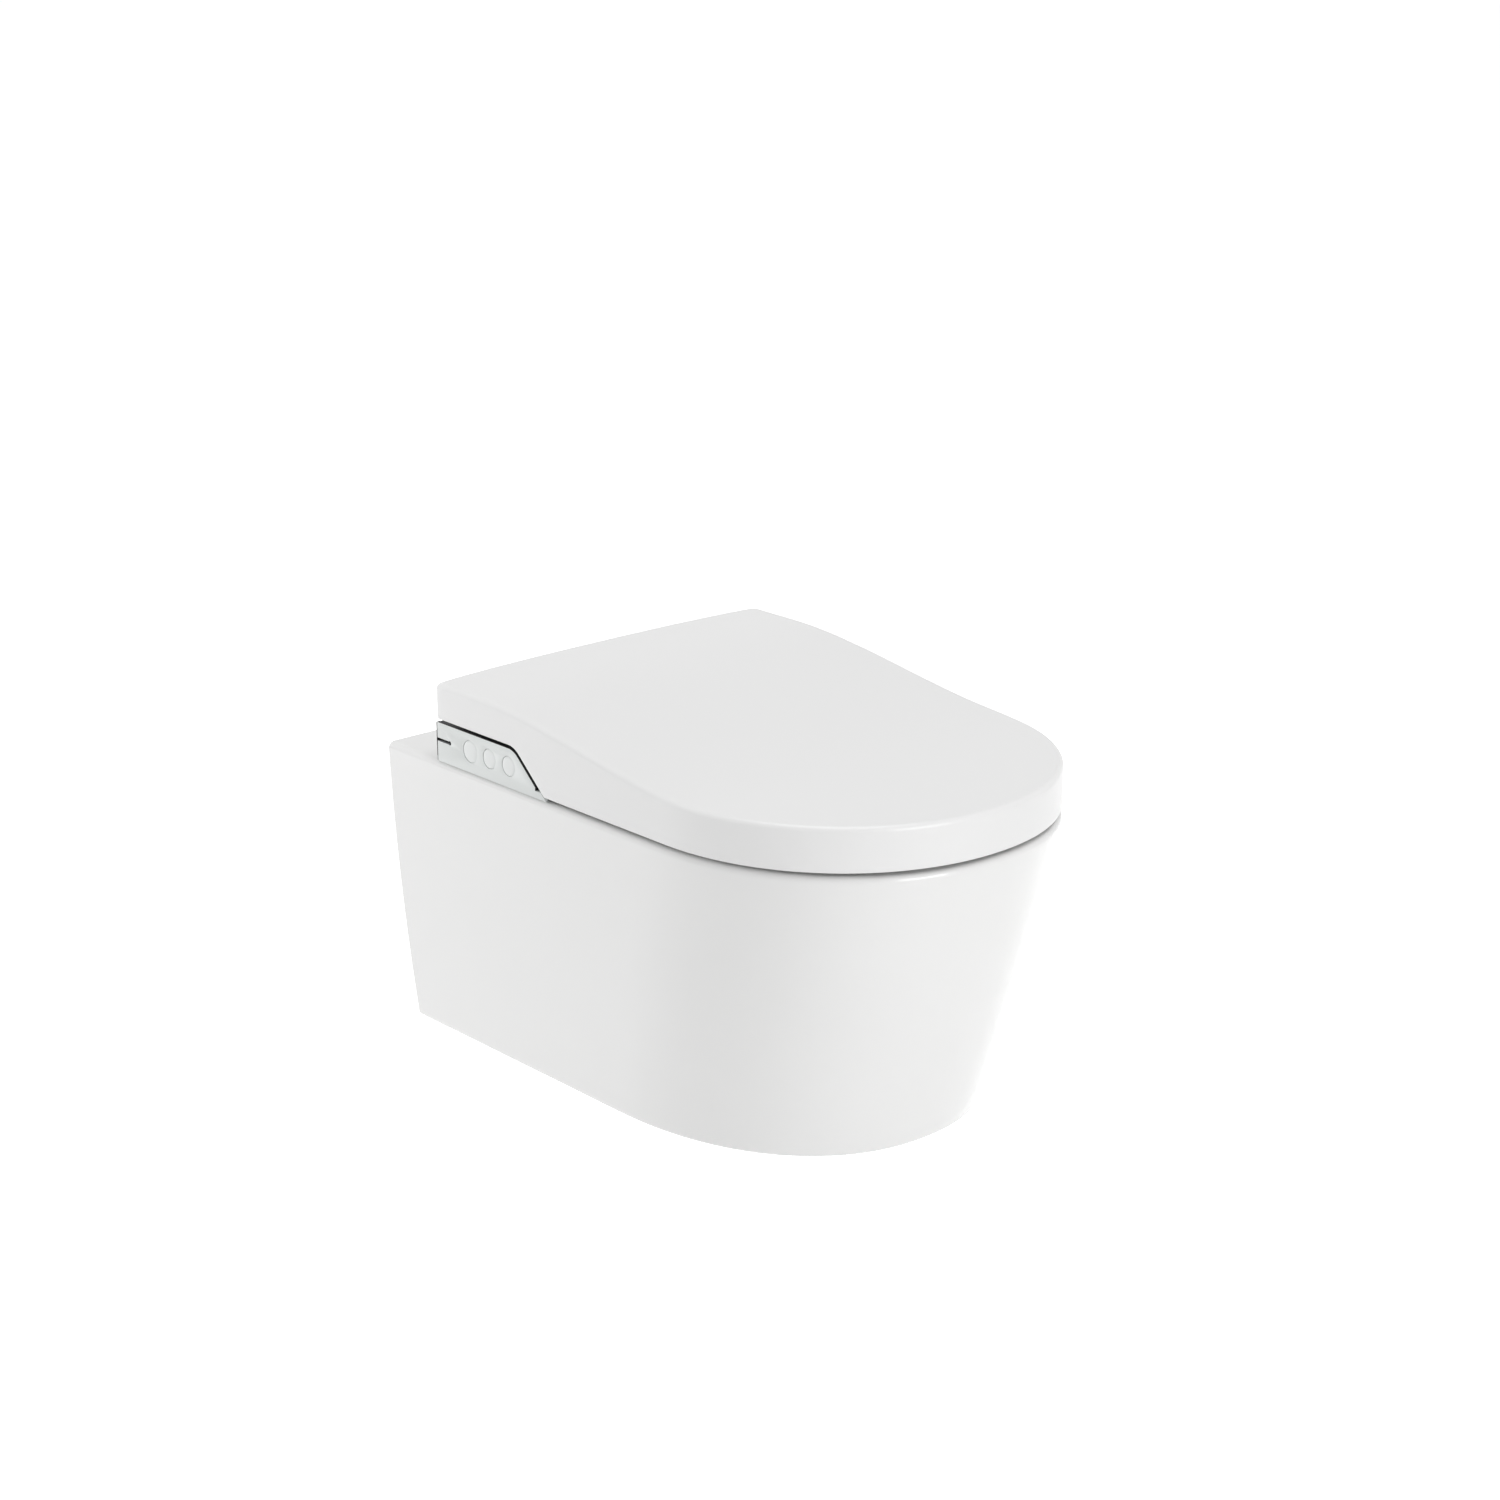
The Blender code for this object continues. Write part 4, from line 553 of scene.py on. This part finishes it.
def circuit_board():
    """Green board with a pattern of fine tracks."""
    made = finish("circuit_board", (0.03, 0.17, 0.08), 0.4, coat=0.5, tint=0.15)
    tree = made.node_tree
    shader = tree.nodes["Principled BSDF"]
    base = shader.inputs["Base Color"].links[0].from_socket
    place = tree.nodes.new("ShaderNodeTexCoord")
    tracks = new_node(tree, "ShaderNodeTexBrick", Scale=160.0, Mortar_Size=0.09)
    tracks.inputs["Color1"].default_value = (1, 1, 1, 1)
    tracks.inputs["Color2"].default_value = (0.8, 0.8, 0.8, 1)
    tracks.inputs["Mortar"].default_value = (1.9, 2.2, 1.6, 1)
    tree.links.new(place.outputs["Object"], tracks.inputs["Vector"])
    mix = tree.nodes.new("ShaderNodeMix")
    mix.data_type = "RGBA"
    mix.blend_type = "MULTIPLY"
    mix.inputs["Factor"].default_value = 1.0
    tree.links.new(base, mix.inputs["A"])
    tree.links.new(tracks.outputs["Color"], mix.inputs["B"])
    tree.links.new(mix.outputs["Result"], shader.inputs["Base Color"])
    return made


FINISH = {
    "glazed_ceramic": finish("glazed_ceramic", (0.84, 0.84, 0.835), 0.16, coat=0.5, tint=0.006,
                             tint_scale=5.0, wear=0.02),
    "white_plastic": finish("white_plastic", (0.84, 0.84, 0.838), 0.33, coat=0.15, coat_roughness=0.1,
                            tint=0.004, tint_scale=6.0, wear=0.03),
    "panel_plastic": finish("panel_plastic", (0.765, 0.79, 0.78), 0.34, tint=0.006, tint_scale=14.0,
                            grain=0.08, grain_scale=1500.0),
    "key_plastic": finish("key_plastic", (0.785, 0.805, 0.797), 0.34, tint=0.006, tint_scale=14.0, coat=0.3),
    "black_plastic": finish("black_plastic", (0.018, 0.018, 0.019), 0.55, tint=0.15, grain=0.3,
                            grain_scale=1800.0, specular=0.3),
    "grey_plastic": finish("grey_plastic", (0.33, 0.34, 0.35), 0.5, tint=0.03, grain=0.2,
                           grain_scale=1600.0),
    "smoked_window": finish("smoked_window", (0.025, 0.02, 0.022), 0.1, coat=1.0, tint=0.1, wear=0.02),
    "black_rubber": finish("black_rubber", (0.03, 0.03, 0.03), 0.8, tint=0.1, grain=0.5,
                           grain_scale=1100.0, specular=0.25),
    "silicone": finish("silicone", (0.70, 0.71, 0.72), 0.6, tint=0.02, grain=0.15, grain_scale=800.0),
    "steel": finish("steel", (0.62, 0.62, 0.63), 0.37, metallic=1.0, tint=0.05, tint_scale=60.0, grain=0.25,
                    grain_scale=500.0, stretch=(1, 0.06, 1), wear=0.08),
    "brass_fitting": finish("brass_fitting", (0.71, 0.53, 0.25), 0.33, metallic=1.0, tint=0.07,
                            tint_scale=70.0, grain=0.2, grain_scale=900.0),
    "copper_foil": finish("copper_foil", (0.72, 0.41, 0.27), 0.34, metallic=1.0, tint=0.06, tint_scale=40.0,
                          grain=0.4, grain_scale=260.0, stretch=(1, 0.15, 1)),
    "circuit_board": circuit_board(),
}


# ---------------------------------------------------------------- pan

def pan_outline(height, inset=0.0, rear=0.0):
    t = height / PAN_HEIGHT
    bulge = PAN_BULGE * 4 * t * (1 - t)
    half = blend(FOOT_HALF, PAN_HALF, t) + bulge - inset
    front = blend(FOOT_FRONT, PAN_FRONT, t) - bulge + inset
    straight = blend(FOOT_STRAIGHT, PAN_STRAIGHT, t)
    sides = [(-half, y) for y in spread_out(rear, straight, 10)]
    return sides + curved_front(half, straight, front, PAN_POWER)


def pan_skin(name, low, high, inset, rear, round_low, round_high, tiers):
    stack = []
    if round_low:
        stack += [(low + up, inset + back) for up, back in corner(round_low, 6)[:-1]]
    stack += [(blend(low + round_low, high - round_high, i / (tiers - 1)), inset) for i in range(tiers)]
    if round_high:
        stack += [(high - down, inset + back) for down, back in reversed(corner(round_high, 7)[:-1])]
    loops = [at_height(pan_outline(height, back, rear), FOOT + height) for height, back in stack]
    return capped(name, loops)


def bowl_loop(t, grow, z):
    spread = math.sin(math.pi / 2 * t) ** 0.8
    half = blend(SUMP_HALF, BOWL_HALF, spread) + grow
    rear = blend(SUMP_REAR, BOWL_REAR, spread) + grow
    front = blend(SUMP_FRONT, BOWL_FRONT, spread) - grow
    return at_height(oval_half(half, rear, front, BOWL_POWER), z)


def bowl_form(name, grow, top, flare=0.0, count=22):
    """The bowl's inside, or with grow, its wall's outside. With flare its edge rolls out onto the rim."""
    floor, upper = BOWL_FLOOR - grow, RIM - PAN_WALL / 2
    shares = [(i / (count - 1)) ** 1.25 for i in range(count)]
    loops = [bowl_loop(t, grow, blend(floor, upper, t)) for t in shares]
    if flare:
        for out, down in corner(flare, 7)[1:]:
            loops.append(bowl_loop(1, out, RIM - down))
    loops.append([Vector((p.x, p.y, top)) for p in loops[-1]])
    return capped(name, loops)


def make_pan():
    pan = pan_skin("pan", 0, PAN_HEIGHT, 0, 3 * MM, FOOT_ROUND, RIM_ROUND, 16)
    cut(pan, pan_skin("pan_hollow", PAN_WALL, PAN_HEIGHT - PAN_WALL, PAN_WALL, PAST_WALL, 0, 0, 6))
    trap = [(0, y * MM, z * MM) for y, z in TRAP_LINE]
    inside = FOOT + PAN_HEIGHT - PAN_WALL / 2
    join(pan, block("back_web", (-WEB_HALF, -WEB_DEPTH, FOOT + PAN_WALL / 2), (WEB_HALF, PAST, inside)),
         bowl_form("bowl_wall", PAN_WALL, inside, count=12), tube("trap_wall", trap, TRAP_RADIUS + PAN_WALL),
         drum("outlet_wall", (0, -OUTLET_DEPTH - PAN_WALL, OUTLET_Z), (0, -INTO_WEB, OUTLET_Z),
              OUTLET_RADIUS + PAN_WALL, 72),
         drum("flush_wall", (0, BOWL_REAR - PAN_WALL / 2, FLUSH_Z), (0, -INTO_WEB, FLUSH_Z),
              FLUSH_RADIUS + PAN_WALL, 64))
    for x in (-STUD_X, STUD_X):
        join(pan, block("stud_boss", (x - BOSS_HALF, -BOSS_DEPTH, -BOSS_HALF),
                        (x + BOSS_HALF, -INTO_WEB, BOSS_HALF)))
    cut(pan, bowl_form("bowl_inside", 0, RIM + PAST, BOWL_ROUND), tube("trap_inside", trap, TRAP_RADIUS),
        drum("outlet_bore", (0, -OUTLET_DEPTH, OUTLET_Z), (0, PAST_WALL, OUTLET_Z), OUTLET_RADIUS, 72),
        drum("flush_bore", (0, -FLUSH_DEPTH, FLUSH_Z), (0, PAST_WALL, FLUSH_Z), FLUSH_RADIUS, 64),
        drum("flush_passage", (0, BOWL_REAR - WELL_PAST, FLUSH_Z), (0, -FLUSH_DEPTH + PAST, FLUSH_Z),
             FLUSH_PASSAGE, 48))
    low, high = RIM - WELL_PAST, RIM + PAST
    for side in (-1, 1):
        x = side * STUD_X
        plate_x, plate_y = side * PLATE_HOLE[0], PLATE_HOLE[1]
        service_x, service_y = side * SERVICE_HOLE[0], SERVICE_HOLE[1]
        access = soften(block("stud_access", (x - ACCESS_HALF, ACCESS_FRONT, low),
                              (x + ACCESS_HALF, ACCESS_REAR, high)), ACCESS_ROUND, 4)
        cut(pan, drum("stud_hole", (x, -BOSS_DEPTH - PAST, 0), (x, PAST_WALL, 0), STUD_HOLE, 40), access,
            drum("plate_hole", (plate_x, plate_y, low), (plate_x, plate_y, high), PLATE_HOLE_RADIUS, 32),
            drum("service_hole", (service_x, service_y, low), (service_x, service_y, high),
                 SERVICE_HOLE_RADIUS, 40))
    # The back is cut flat on the wall plane last, so that web and shell end in one face.
    cut(pan, block("behind_wall", (-PAN_HALF - WELL_PAST, 0, FOOT - WELL_PAST),
                   (PAN_HALF + WELL_PAST, WELL_PAST, RIM + WELL_PAST)))
    settle(smooth(tidy_mesh(pan, MERGE / 10), SMOOTH_SHELL), "root", "glazed_ceramic", "ceramic_pan")


# ---------------------------------------------------------------- lid

def lid_half(inset=0.0, rear_grow=0.0):
    """Left half of the lid's outline: bowed rear edge, rounded corner, straight side, curved front."""
    half = LID_HALF - inset
    corner_x = half - LID_CORNER
    points = []
    for x in spread_out(0, corner_x, 12):
        points.append((-x, LID_REAR - LID_REAR_BOW * (x / half) ** 2.5 + rear_grow))
    side_y = LID_REAR - LID_REAR_BOW - LID_CORNER + rear_grow
    for a in quarter(7):
        points.append((-corner_x - LID_CORNER * math.sin(a), side_y + LID_CORNER * math.cos(a)))
    bend = [y for y, _ in part_line(PART_GAP / 2, LID_LOW)]
    stations = [*LID_STATIONS, *bend]
    stations += spread_out(bend[-1] - 5 * MM, LID_STRAIGHT, 28)
    front = curved_front(half, LID_STRAIGHT, LID_FRONT + inset, LID_POWER)
    return points + [(-half, y) for y in stations] + front


def skirt_low(y):
    """Height of the lid's lower edge above the rim: it steps up over the side panel."""
    line = part_line(PART_GAP / 2, LID_LOW)
    if y >= line[0][0]:
        return line[0][1] - RIM
    for (y0, z0), (y1, z1) in zip(line, line[1:]):
        if y1 <= y <= y0:
            return blend(z0, z1, (y - y0) / (y1 - y0)) - RIM
    return LID_LOW


def make_lid():
    loops = []
    for rise, inset in corner(LID_LIP, 3):
        loops.append(both_sides([Vector((x, y, RIM + skirt_low(y) + rise))
                                 for x, y in lid_half(inset, -inset)]))
    for share in LID_TIERS:
        outline = [(x, y, blend(skirt_low(y) + LID_LIP, lid_top(y) - LID_EDGE, share)) for x, y in lid_half()]
        loops.append(both_sides([Vector((x, y, RIM + height)) for x, y, height in outline]))
    for inset, drop in corner(LID_EDGE, 9):
        loops.append(both_sides([Vector((x, y, RIM + lid_top(y) - drop))
                                 for x, y in lid_half(inset, -inset)]))
    lid = capped("lid_shell", loops)
    low = both_sides([Vector((x, y, RIM + skirt_low(y) - WELL_PAST))
                      for x, y in lid_half(LID_WALL, WELL_PAST)])
    inner_loops = [low]
    for back, drop in corner(LID_INNER_ROUND, 4):
        inner_loops.append(both_sides([Vector((x, y, RIM + lid_top(y) - LID_WALL - drop))
                                       for x, y in lid_half(LID_WALL + back, WELL_PAST)]))
    cut(lid, capped("lid_inside", inner_loops))
    corner_y, corner_z = LID_REAR - LID_REAR_BOW, RIM + PART_UP + PART_GAP / 2
    cut(lid, slab("skirt_corner", [(corner_y + 1 * MM, corner_z + LID_CHAMFER + 1 * MM),
                                   (corner_y - LID_CHAMFER - 1 * MM, corner_z - 1 * MM),
                                   (corner_y + 3 * MM, corner_z - 3 * MM)], -LID_HALF - MM, LID_HALF + MM))
    for side in (-1, 1):
        join(lid, drum("lid_boss", hinge_point(side * (RING_HALF + BOSS_GAP)),
                       hinge_point(side * (LID_HALF - LID_WALL + BOSS_INTO_LID)), BOSS_RADIUS, 48))
        cut(lid, drum("lid_bore", hinge_point(side * (RING_HALF - PAST)), hinge_point(side * LID_BORE_END),
                      PIN_RADIUS + BORE_CLEAR, 32))
    settle(smooth(tidy_mesh(lid), SMOOTH_SHELL), "lid", "white_plastic", "lid")


# ---------------------------------------------------------------- seat ring

def ring_half(inset=0.0):
    half, rear = RING_HALF - inset, RING_REAR - inset
    points = [(-x, rear) for x in spread_out(0, half - RING_CORNER, 16)]
    points += [(-half + in_by, rear - along) for along, in_by in corner(RING_CORNER, 6)]
    points += [(-half, y) for y in spread_out(rear - 2 * RING_CORNER, LID_STRAIGHT, 12)]
    return points + curved_front(half, LID_STRAIGHT, RING_FRONT + inset, LID_POWER)


def opening_half(inset=0.0):
    """The seat opening's outline, one point for each point of the outer outline."""
    centre = (OPENING_REAR + OPENING_FRONT) / 2
    half, reach = OPENING_HALF - inset, (OPENING_REAR - OPENING_FRONT) / 2 - inset
    points = []
    for x, y in ring_half():
        across, along = -x / RING_HALF, (y - centre) / (RING_REAR - centre)
        size = (across / half) ** OPENING_POWER + (abs(along) / reach) ** OPENING_POWER
        size = size ** (1 / OPENING_POWER)
        points.append((-across / size if across > 1e-6 else 0.0, centre + along / size))
    return points


def ring_top(y):
    return min(RING_TOP_MOST, lid_top(y) - RING_UNDER_LID)


def ring_low(x, y):
    across = 1 - ease(abs(x), RING_BRIDGE_HALF, RING_BRIDGE_HALF + 16 * MM)
    return blend(RING_LOW, RING_BRIDGE_LOW, across * ease(y, -275 * MM, -250 * MM))


def ring_loops(inset, drop, edge, steps):
    rounding = [(inset + back, drop + down) for back, down in corner(edge, steps)]
    loops = []
    for outline_half, sign in ((ring_half, 1), (opening_half, -1)):
        over = [both_sides([Vector((x, y, RIM + ring_top(y) - down)) for x, y in outline_half(sign * back)])
                for back, down in rounding]
        foot = both_sides([Vector((x, y, RIM + ring_low(x, y))) for x, y in outline_half(sign * inset)])
        loops += [foot, *over][::sign]
    return loops


def make_seat_ring():
    outside = ring_loops(0, 0, RING_EDGE, 9)
    inside = ring_loops(RING_WALL, RING_WALL, RING_EDGE - RING_WALL, 3)[::-1]
    ring = loft("ring_shell", outside + inside + [outside[0]])
    line = part_line(PART_GAP / 2 + GAP, RING_LOW)
    end_y, end_z = RING_REAR - 12 * MM, RIM + RING_LOW + 2.5 * MM + 2 * GAP
    turns = [math.pi * i / 20 for i in range(20)]
    knuckle = [(HINGE_Y + KNUCKLE * math.sin(a), RIM + HINGE_UP + KNUCKLE * math.cos(a)) for a in turns]
    outline = [(end_y, RIM + ring_top(end_y) - 6 * MM), (RING_REAR + 32 * MM, RIM + RING_TOP_MOST), *knuckle,
               (HINGE_Y - 8 * MM, line[0][1]), *line, (RING_REAR - 2 * MM, RIM + RING_LOW),
               (RING_REAR - 2 * MM, end_z), (end_y, end_z)]
    for side in (-1, 1):
        low_x, high_x = sorted((side * ARM_INNER, side * (RING_HALF - GAP)))
        join(ring, slab("ring_arm", outline, low_x, high_x))
        cut(ring, drum("arm_bore", hinge_point(side * (ARM_INNER - PAST)),
                       hinge_point(side * (RING_HALF + PAST)), PIN_RADIUS + BORE_CLEAR, 32))
    settle(smooth(tidy_mesh(ring), SMOOTH_SHELL), "seat_ring", "white_plastic", "seat_ring")


# ---------------------------------------------------------------- housing

def cover_profile(inset):
    low, top = RIM + PART_UP - PART_GAP / 2, RIM + COVER_TOP - inset
    round_by, rear, fall = 6 * MM - inset, HOUSE_REAR - inset, RIM + COVER_TOP - inset - low - 4 * MM
    points = [(rear, low - inset)]
    points += [(rear - along, top - down) for along, down in corner(round_by, 8)]
    points += [(HOUSE_FRONT + inset + COVER_REACH * (1 - math.sin(a)), top - fall * (1 - math.cos(a)))
               for a in quarter(20)]
    return points + [(HOUSE_FRONT + inset, low - inset)]


def make_cover():
    cover = soften(slab("cover_shell", cover_profile(0), -HOUSE_HALF, HOUSE_HALF), 1.2 * MM, 4)
    cut(cover, slab("cover_inside", cover_profile(HOUSE_WALL), -HOUSE_HALF + HOUSE_WALL,
                    HOUSE_HALF - HOUSE_WALL))
    past = HOUSE_HALF + 11 * MM
    cut(cover, drum("pin_holes", hinge_point(-past), hinge_point(past), PIN_RADIUS + BORE_CLEAR, 32))
    settle(smooth(tidy_mesh(cover), SMOOTH_PART), "root", "white_plastic", "housing_cover")


def panel_outline():
    """The panel's side view: its sloping edge stops at a small step, with a toe under the lid's tip."""
    line = part_line(-PART_GAP / 2, TOE_UP + STEP_UP)
    toe = [part_line(PART_GAP / 2 - TOE_CLEAR, up)[-1] for up in (TOE_UP, PANEL_LOW)]
    step = (line[-1][0] + STEP_BACK, RIM + TOE_UP)
    return [(HOUSE_REAR, RIM + PANEL_LOW), (HOUSE_REAR, line[0][1]), *line, step, *toe]


def paint_gap_shade(panel):
    """Painted shade: black on the panel's edges, for the dark gaps to the lid and housing, and on a narrow
    strip down its rear, for the gap there beside the real black shoulder; grey inside its slot, for the shade
    in that recess.
    """
    choose(panel)
    bpy.ops.object.mode_set(mode="EDIT")
    bpy.ops.mesh.select_all(action="SELECT")
    bpy.ops.mesh.bisect(plane_co=(0, HOUSE_REAR - REAR_DARK_STRIP, 0), plane_no=(0, 1, 0))
    bpy.ops.object.mode_set(mode="OBJECT")
    panel.data.materials.append(FINISH["black_plastic"])
    panel.data.materials.append(FINISH["grey_plastic"])
    toe_start = part_line(-PART_GAP / 2, TOE_UP)[-1][0]
    for face in panel.data.polygons:
        y, z = face.center.y, face.center.z
        in_hole = any(math.hypot(y - key_y, z - BUTTON_Z) < radius + 1 * MM
                      for key_y, radius in BUTTONS.values())
        in_slot = abs(z - SLOT_Z) < SLOT_HALF * 1.4 and HOUSE_REAR - REAR_DARK_STRIP > y > SLOT_END
        edge = abs(face.normal.x) < 0.75 and z > RIM + PANEL_LOW + 1 * MM and not in_hole
        toe = z < RIM + TOE_UP + 0.1 * MM and y < toe_start
        # Painted shade: edge faces and the rear strip are made black, and the faces inside the slot grey
        if (edge and not toe) or y > HOUSE_REAR - REAR_DARK_STRIP:
            face.material_index = 2 if in_slot else 1


def make_panels():
    inner, outer = SHOULDER_HALF + GAP, LID_HALF
    right = soften(slab("panel_right", panel_outline(), inner, outer), PANEL_SOFT, 2)
    paint_gap_shade(settle(smooth(right), "root", "panel_plastic", "side_panel_right"))
    left = slab("panel_left", panel_outline(), -outer, -inner)
    x = (-outer - MM, -inner + MM)
    for y, radius in BUTTONS.values():
        cut(left, drum("button_hole", (x[0], y, BUTTON_Z), (x[1], y, BUTTON_Z), radius + BUTTON_CLEAR, 72))
    cut(left, block("slot", (x[0], SLOT_END, SLOT_Z - SLOT_HALF),
                    (x[1], HOUSE_REAR + MM, SLOT_Z + SLOT_HALF)),
        drum("slot_end", (x[0], SLOT_END, SLOT_Z), (x[1], SLOT_END, SLOT_Z), SLOT_HALF * 1.3, 32))
    soften(tidy_mesh(left), PANEL_SOFT, 2)
    paint_gap_shade(settle(smooth(left), "root", "panel_plastic", "side_panel_left"))


def turned(name, profile, place):
    """A closed shape of circles, each given as (x from the place, radius), along X."""
    return loft(name, [[place + Vector((x, y, z)) for y, z in circle(radius, 72)] for x, radius in profile])


def make_buttons():
    """Round keys: each face is crowned, so that it falls away towards its edge."""
    flange_start, flange_end, stem, stem_end = 2.7 * MM, 3.9 * MM, 2.5 * MM, 8.3 * MM
    shares = (0.0001, 0.3, 0.5, 0.65, 0.76, 0.84, 0.9, 0.95, 0.98, 1)
    for name, (y, radius) in BUTTONS.items():
        crown = [(KEY_CROWN * t ** 5, radius * t) for t in shares]
        flange = radius + 1.2 * MM
        profile = crown + [(flange_start, radius), (flange_start, flange), (flange_end, flange),
                           (flange_end, stem), (stem_end, stem), (stem_end, 0.0001 * MM)]
        key = turned(name + "_key", profile, Vector((-LID_HALF, y, BUTTON_Z)))
        settle(smooth(key, SMOOTH_KEY), name, "white_plastic", name, paint="key_plastic")


def make_pipe_seals():
    """Rubber sleeves with an inner lip, for the wall frame's two pipes."""
    for name, z, radius, depth in SEALS:
        outer, inner = radius - GAP, radius - SEAL_WALL
        lip = inner - SEAL_LIP
        profile = ((outer, 0), (outer, -depth), (lip, -depth), (lip, -depth + 3 * MM),
                   (inner, -depth + 6 * MM), (inner, 0), (outer, 0))
        loops = [[Vector((x, SEAL_FACE + y, z + up)) for x, up in circle(r, 96)] for r, y in profile]
        seal = soften(loft(name + "_ring", loops), 0.4 * MM, 2)
        settle(smooth(seal), "root", "black_rubber", name)


# ---------------------------------------------------------------- pieces that keep their own form

ROUNDED = {"housing_base": 0.35, "nozzle_shield": 0.25, "presence_sensor": 0.4, "mounting_plate": 0.3,
           "power_supply": 0.3, "nozzle_guide": 0.4, "dryer_duct": 0.3, "seat_ring_base": 0.3,
           "water_heater": 1.2, "pump": 0.5, "inlet_valve": 0.6, "stud_nut_left": 0.4, "stud_nut_right": 0.4,
           "lid_damper": 0.5, "ring_damper": 0.5, "fan_motor": 0.5, "rear_nozzle_motor": 0.5,
           "front_nozzle_motor": 0.5, "ring_bumper_rear_left": 0.9, "ring_bumper_rear_right": 0.9,
           "ring_bumper_front_left": 0.9, "ring_bumper_front_right": 0.9, "lid_bumper_left": 0.5,
           "lid_bumper_right": 0.5, "hinge_pin_left": 0.3, "hinge_pin_right": 0.3}


def rounded_copy(node, width):
    """A copy of a node's own form, with its edges rounded."""
    choose(frame["nodes"][node])
    bpy.ops.object.duplicate()
    piece = bpy.context.object
    piece.parent = None
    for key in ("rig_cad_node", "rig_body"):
        if key in piece:
            del piece[key]
    piece.name = node + "_finished"
    tidy_mesh(piece)
    soften(piece, width * MM, 3, 35)
    return smooth(piece, SMOOTH_PART)


def finish_the_rest():
    slots = {row["node"]: row["material_slot"] for row in frame["record"]["subparts"]}
    bodies = {node: body for body, nodes in frame["record"]["behaviour"]["bodies"].items() for node in nodes}
    for node, width in ROUNDED.items():
        settle(rounded_copy(node, width), bodies[node], slots[node], node)
    for node, piece in frame["nodes"].items():
        piece.data.materials.clear()
        piece.data.materials.append(FINISH[slots[node]])


# ---------------------------------------------------------------- stage, light and camera

def camera_white(tree, output, plain, white):
    """Shows a second shader to the camera, in reflections and through glass, in place of the first."""
    path = tree.nodes.new("ShaderNodeLightPath")
    either = tree.nodes.new("ShaderNodeMath")
    either.operation = "MAXIMUM"
    any_ray = tree.nodes.new("ShaderNodeMath")
    any_ray.operation = "MAXIMUM"
    mix = tree.nodes.new("ShaderNodeMixShader")
    tree.links.new(path.outputs["Is Camera Ray"], either.inputs[0])
    tree.links.new(path.outputs["Is Glossy Ray"], either.inputs[1])
    tree.links.new(either.outputs[0], any_ray.inputs[0])
    tree.links.new(path.outputs["Is Transmission Ray"], any_ray.inputs[1])
    tree.links.new(any_ray.outputs[0], mix.inputs["Fac"])
    tree.links.new(plain, mix.inputs[1])
    tree.links.new(white, mix.inputs[2])
    tree.links.new(mix.outputs[0], output.inputs["Surface"])


def make_floor():
    deselect()
    bpy.ops.mesh.primitive_plane_add(size=40, location=(0, 0, FLOOR_Z))
    floor = named("floor")
    paint = bpy.data.materials.new("floor_paint")
    paint.use_nodes = True
    tree = paint.node_tree
    tree.nodes.clear()
    output = tree.nodes.new("ShaderNodeOutputMaterial")
    matt = new_node(tree, "ShaderNodeBsdfDiffuse", Color=(0.85, 0.85, 0.85, 1))
    glow = new_node(tree, "ShaderNodeEmission", Strength=FLOOR_GLOW)
    both = tree.nodes.new("ShaderNodeAddShader")
    tree.links.new(matt.outputs[0], both.inputs[0])
    tree.links.new(glow.outputs[0], both.inputs[1])
    camera_white(tree, output, matt.outputs[0], both.outputs[0])
    # From below the floor is clear, so that the underside can be looked at.
    side = tree.nodes.new("ShaderNodeNewGeometry")
    clear = tree.nodes.new("ShaderNodeBsdfTransparent")
    two_sides = tree.nodes.new("ShaderNodeMixShader")
    tree.links.new(side.outputs["Backfacing"], two_sides.inputs["Fac"])
    tree.links.new(output.inputs["Surface"].links[0].from_socket, two_sides.inputs[1])
    tree.links.new(clear.outputs[0], two_sides.inputs[2])
    tree.links.new(two_sides.outputs[0], output.inputs["Surface"])
    floor.data.materials.append(paint)


def make_world(strength):
    world = bpy.context.scene.world or bpy.data.worlds.new("studio")
    bpy.context.scene.world = world
    world.use_nodes = True
    tree = world.node_tree
    tree.nodes.clear()
    output = tree.nodes.new("ShaderNodeOutputWorld")
    room = new_node(tree, "ShaderNodeBackground", Strength=strength)
    white = new_node(tree, "ShaderNodeBackground", Strength=1.0)
    for shade in (room, white):
        shade.inputs["Color"].default_value = (1, 1, 1, 1)
    camera_white(tree, output, room.outputs[0], white.outputs[0])


def area_light(name, place, size, power, shine):
    """A square lamp. Without shine it gives light but isn't reflected."""
    data = bpy.data.lights.new(name, "AREA")
    data.size = size
    data.energy = power
    lamp = bpy.data.objects.new(name, data)
    bpy.context.scene.collection.objects.link(lamp)
    lamp.location = place
    lamp.rotation_euler = (Vector(LAMP_AIM) - Vector(place)).to_track_quat("-Z", "Y").to_euler()
    lamp.visible_glossy = shine


def make_camera():
    data = bpy.data.cameras.new("camera")
    data.lens = CAMERA_LENS
    data.sensor_width = CAMERA_SENSOR
    camera = bpy.data.objects.new("camera", data)
    bpy.context.scene.collection.objects.link(camera)
    camera.matrix_world = Matrix.Translation(CAMERA_PLACE) @ Matrix(CAMERA_AXES).transposed().to_4x4()
    bpy.context.scene.camera = camera


make_pan()
make_lid()
make_seat_ring()
make_cover()
make_panels()
make_buttons()
make_pipe_seals()
finish_the_rest()
make_floor()
make_world(WORLD_GLOW)
for lamp_values in LAMPS:
    area_light(*lamp_values)
make_camera()
bpy.context.scene.view_settings.view_transform = "Standard"
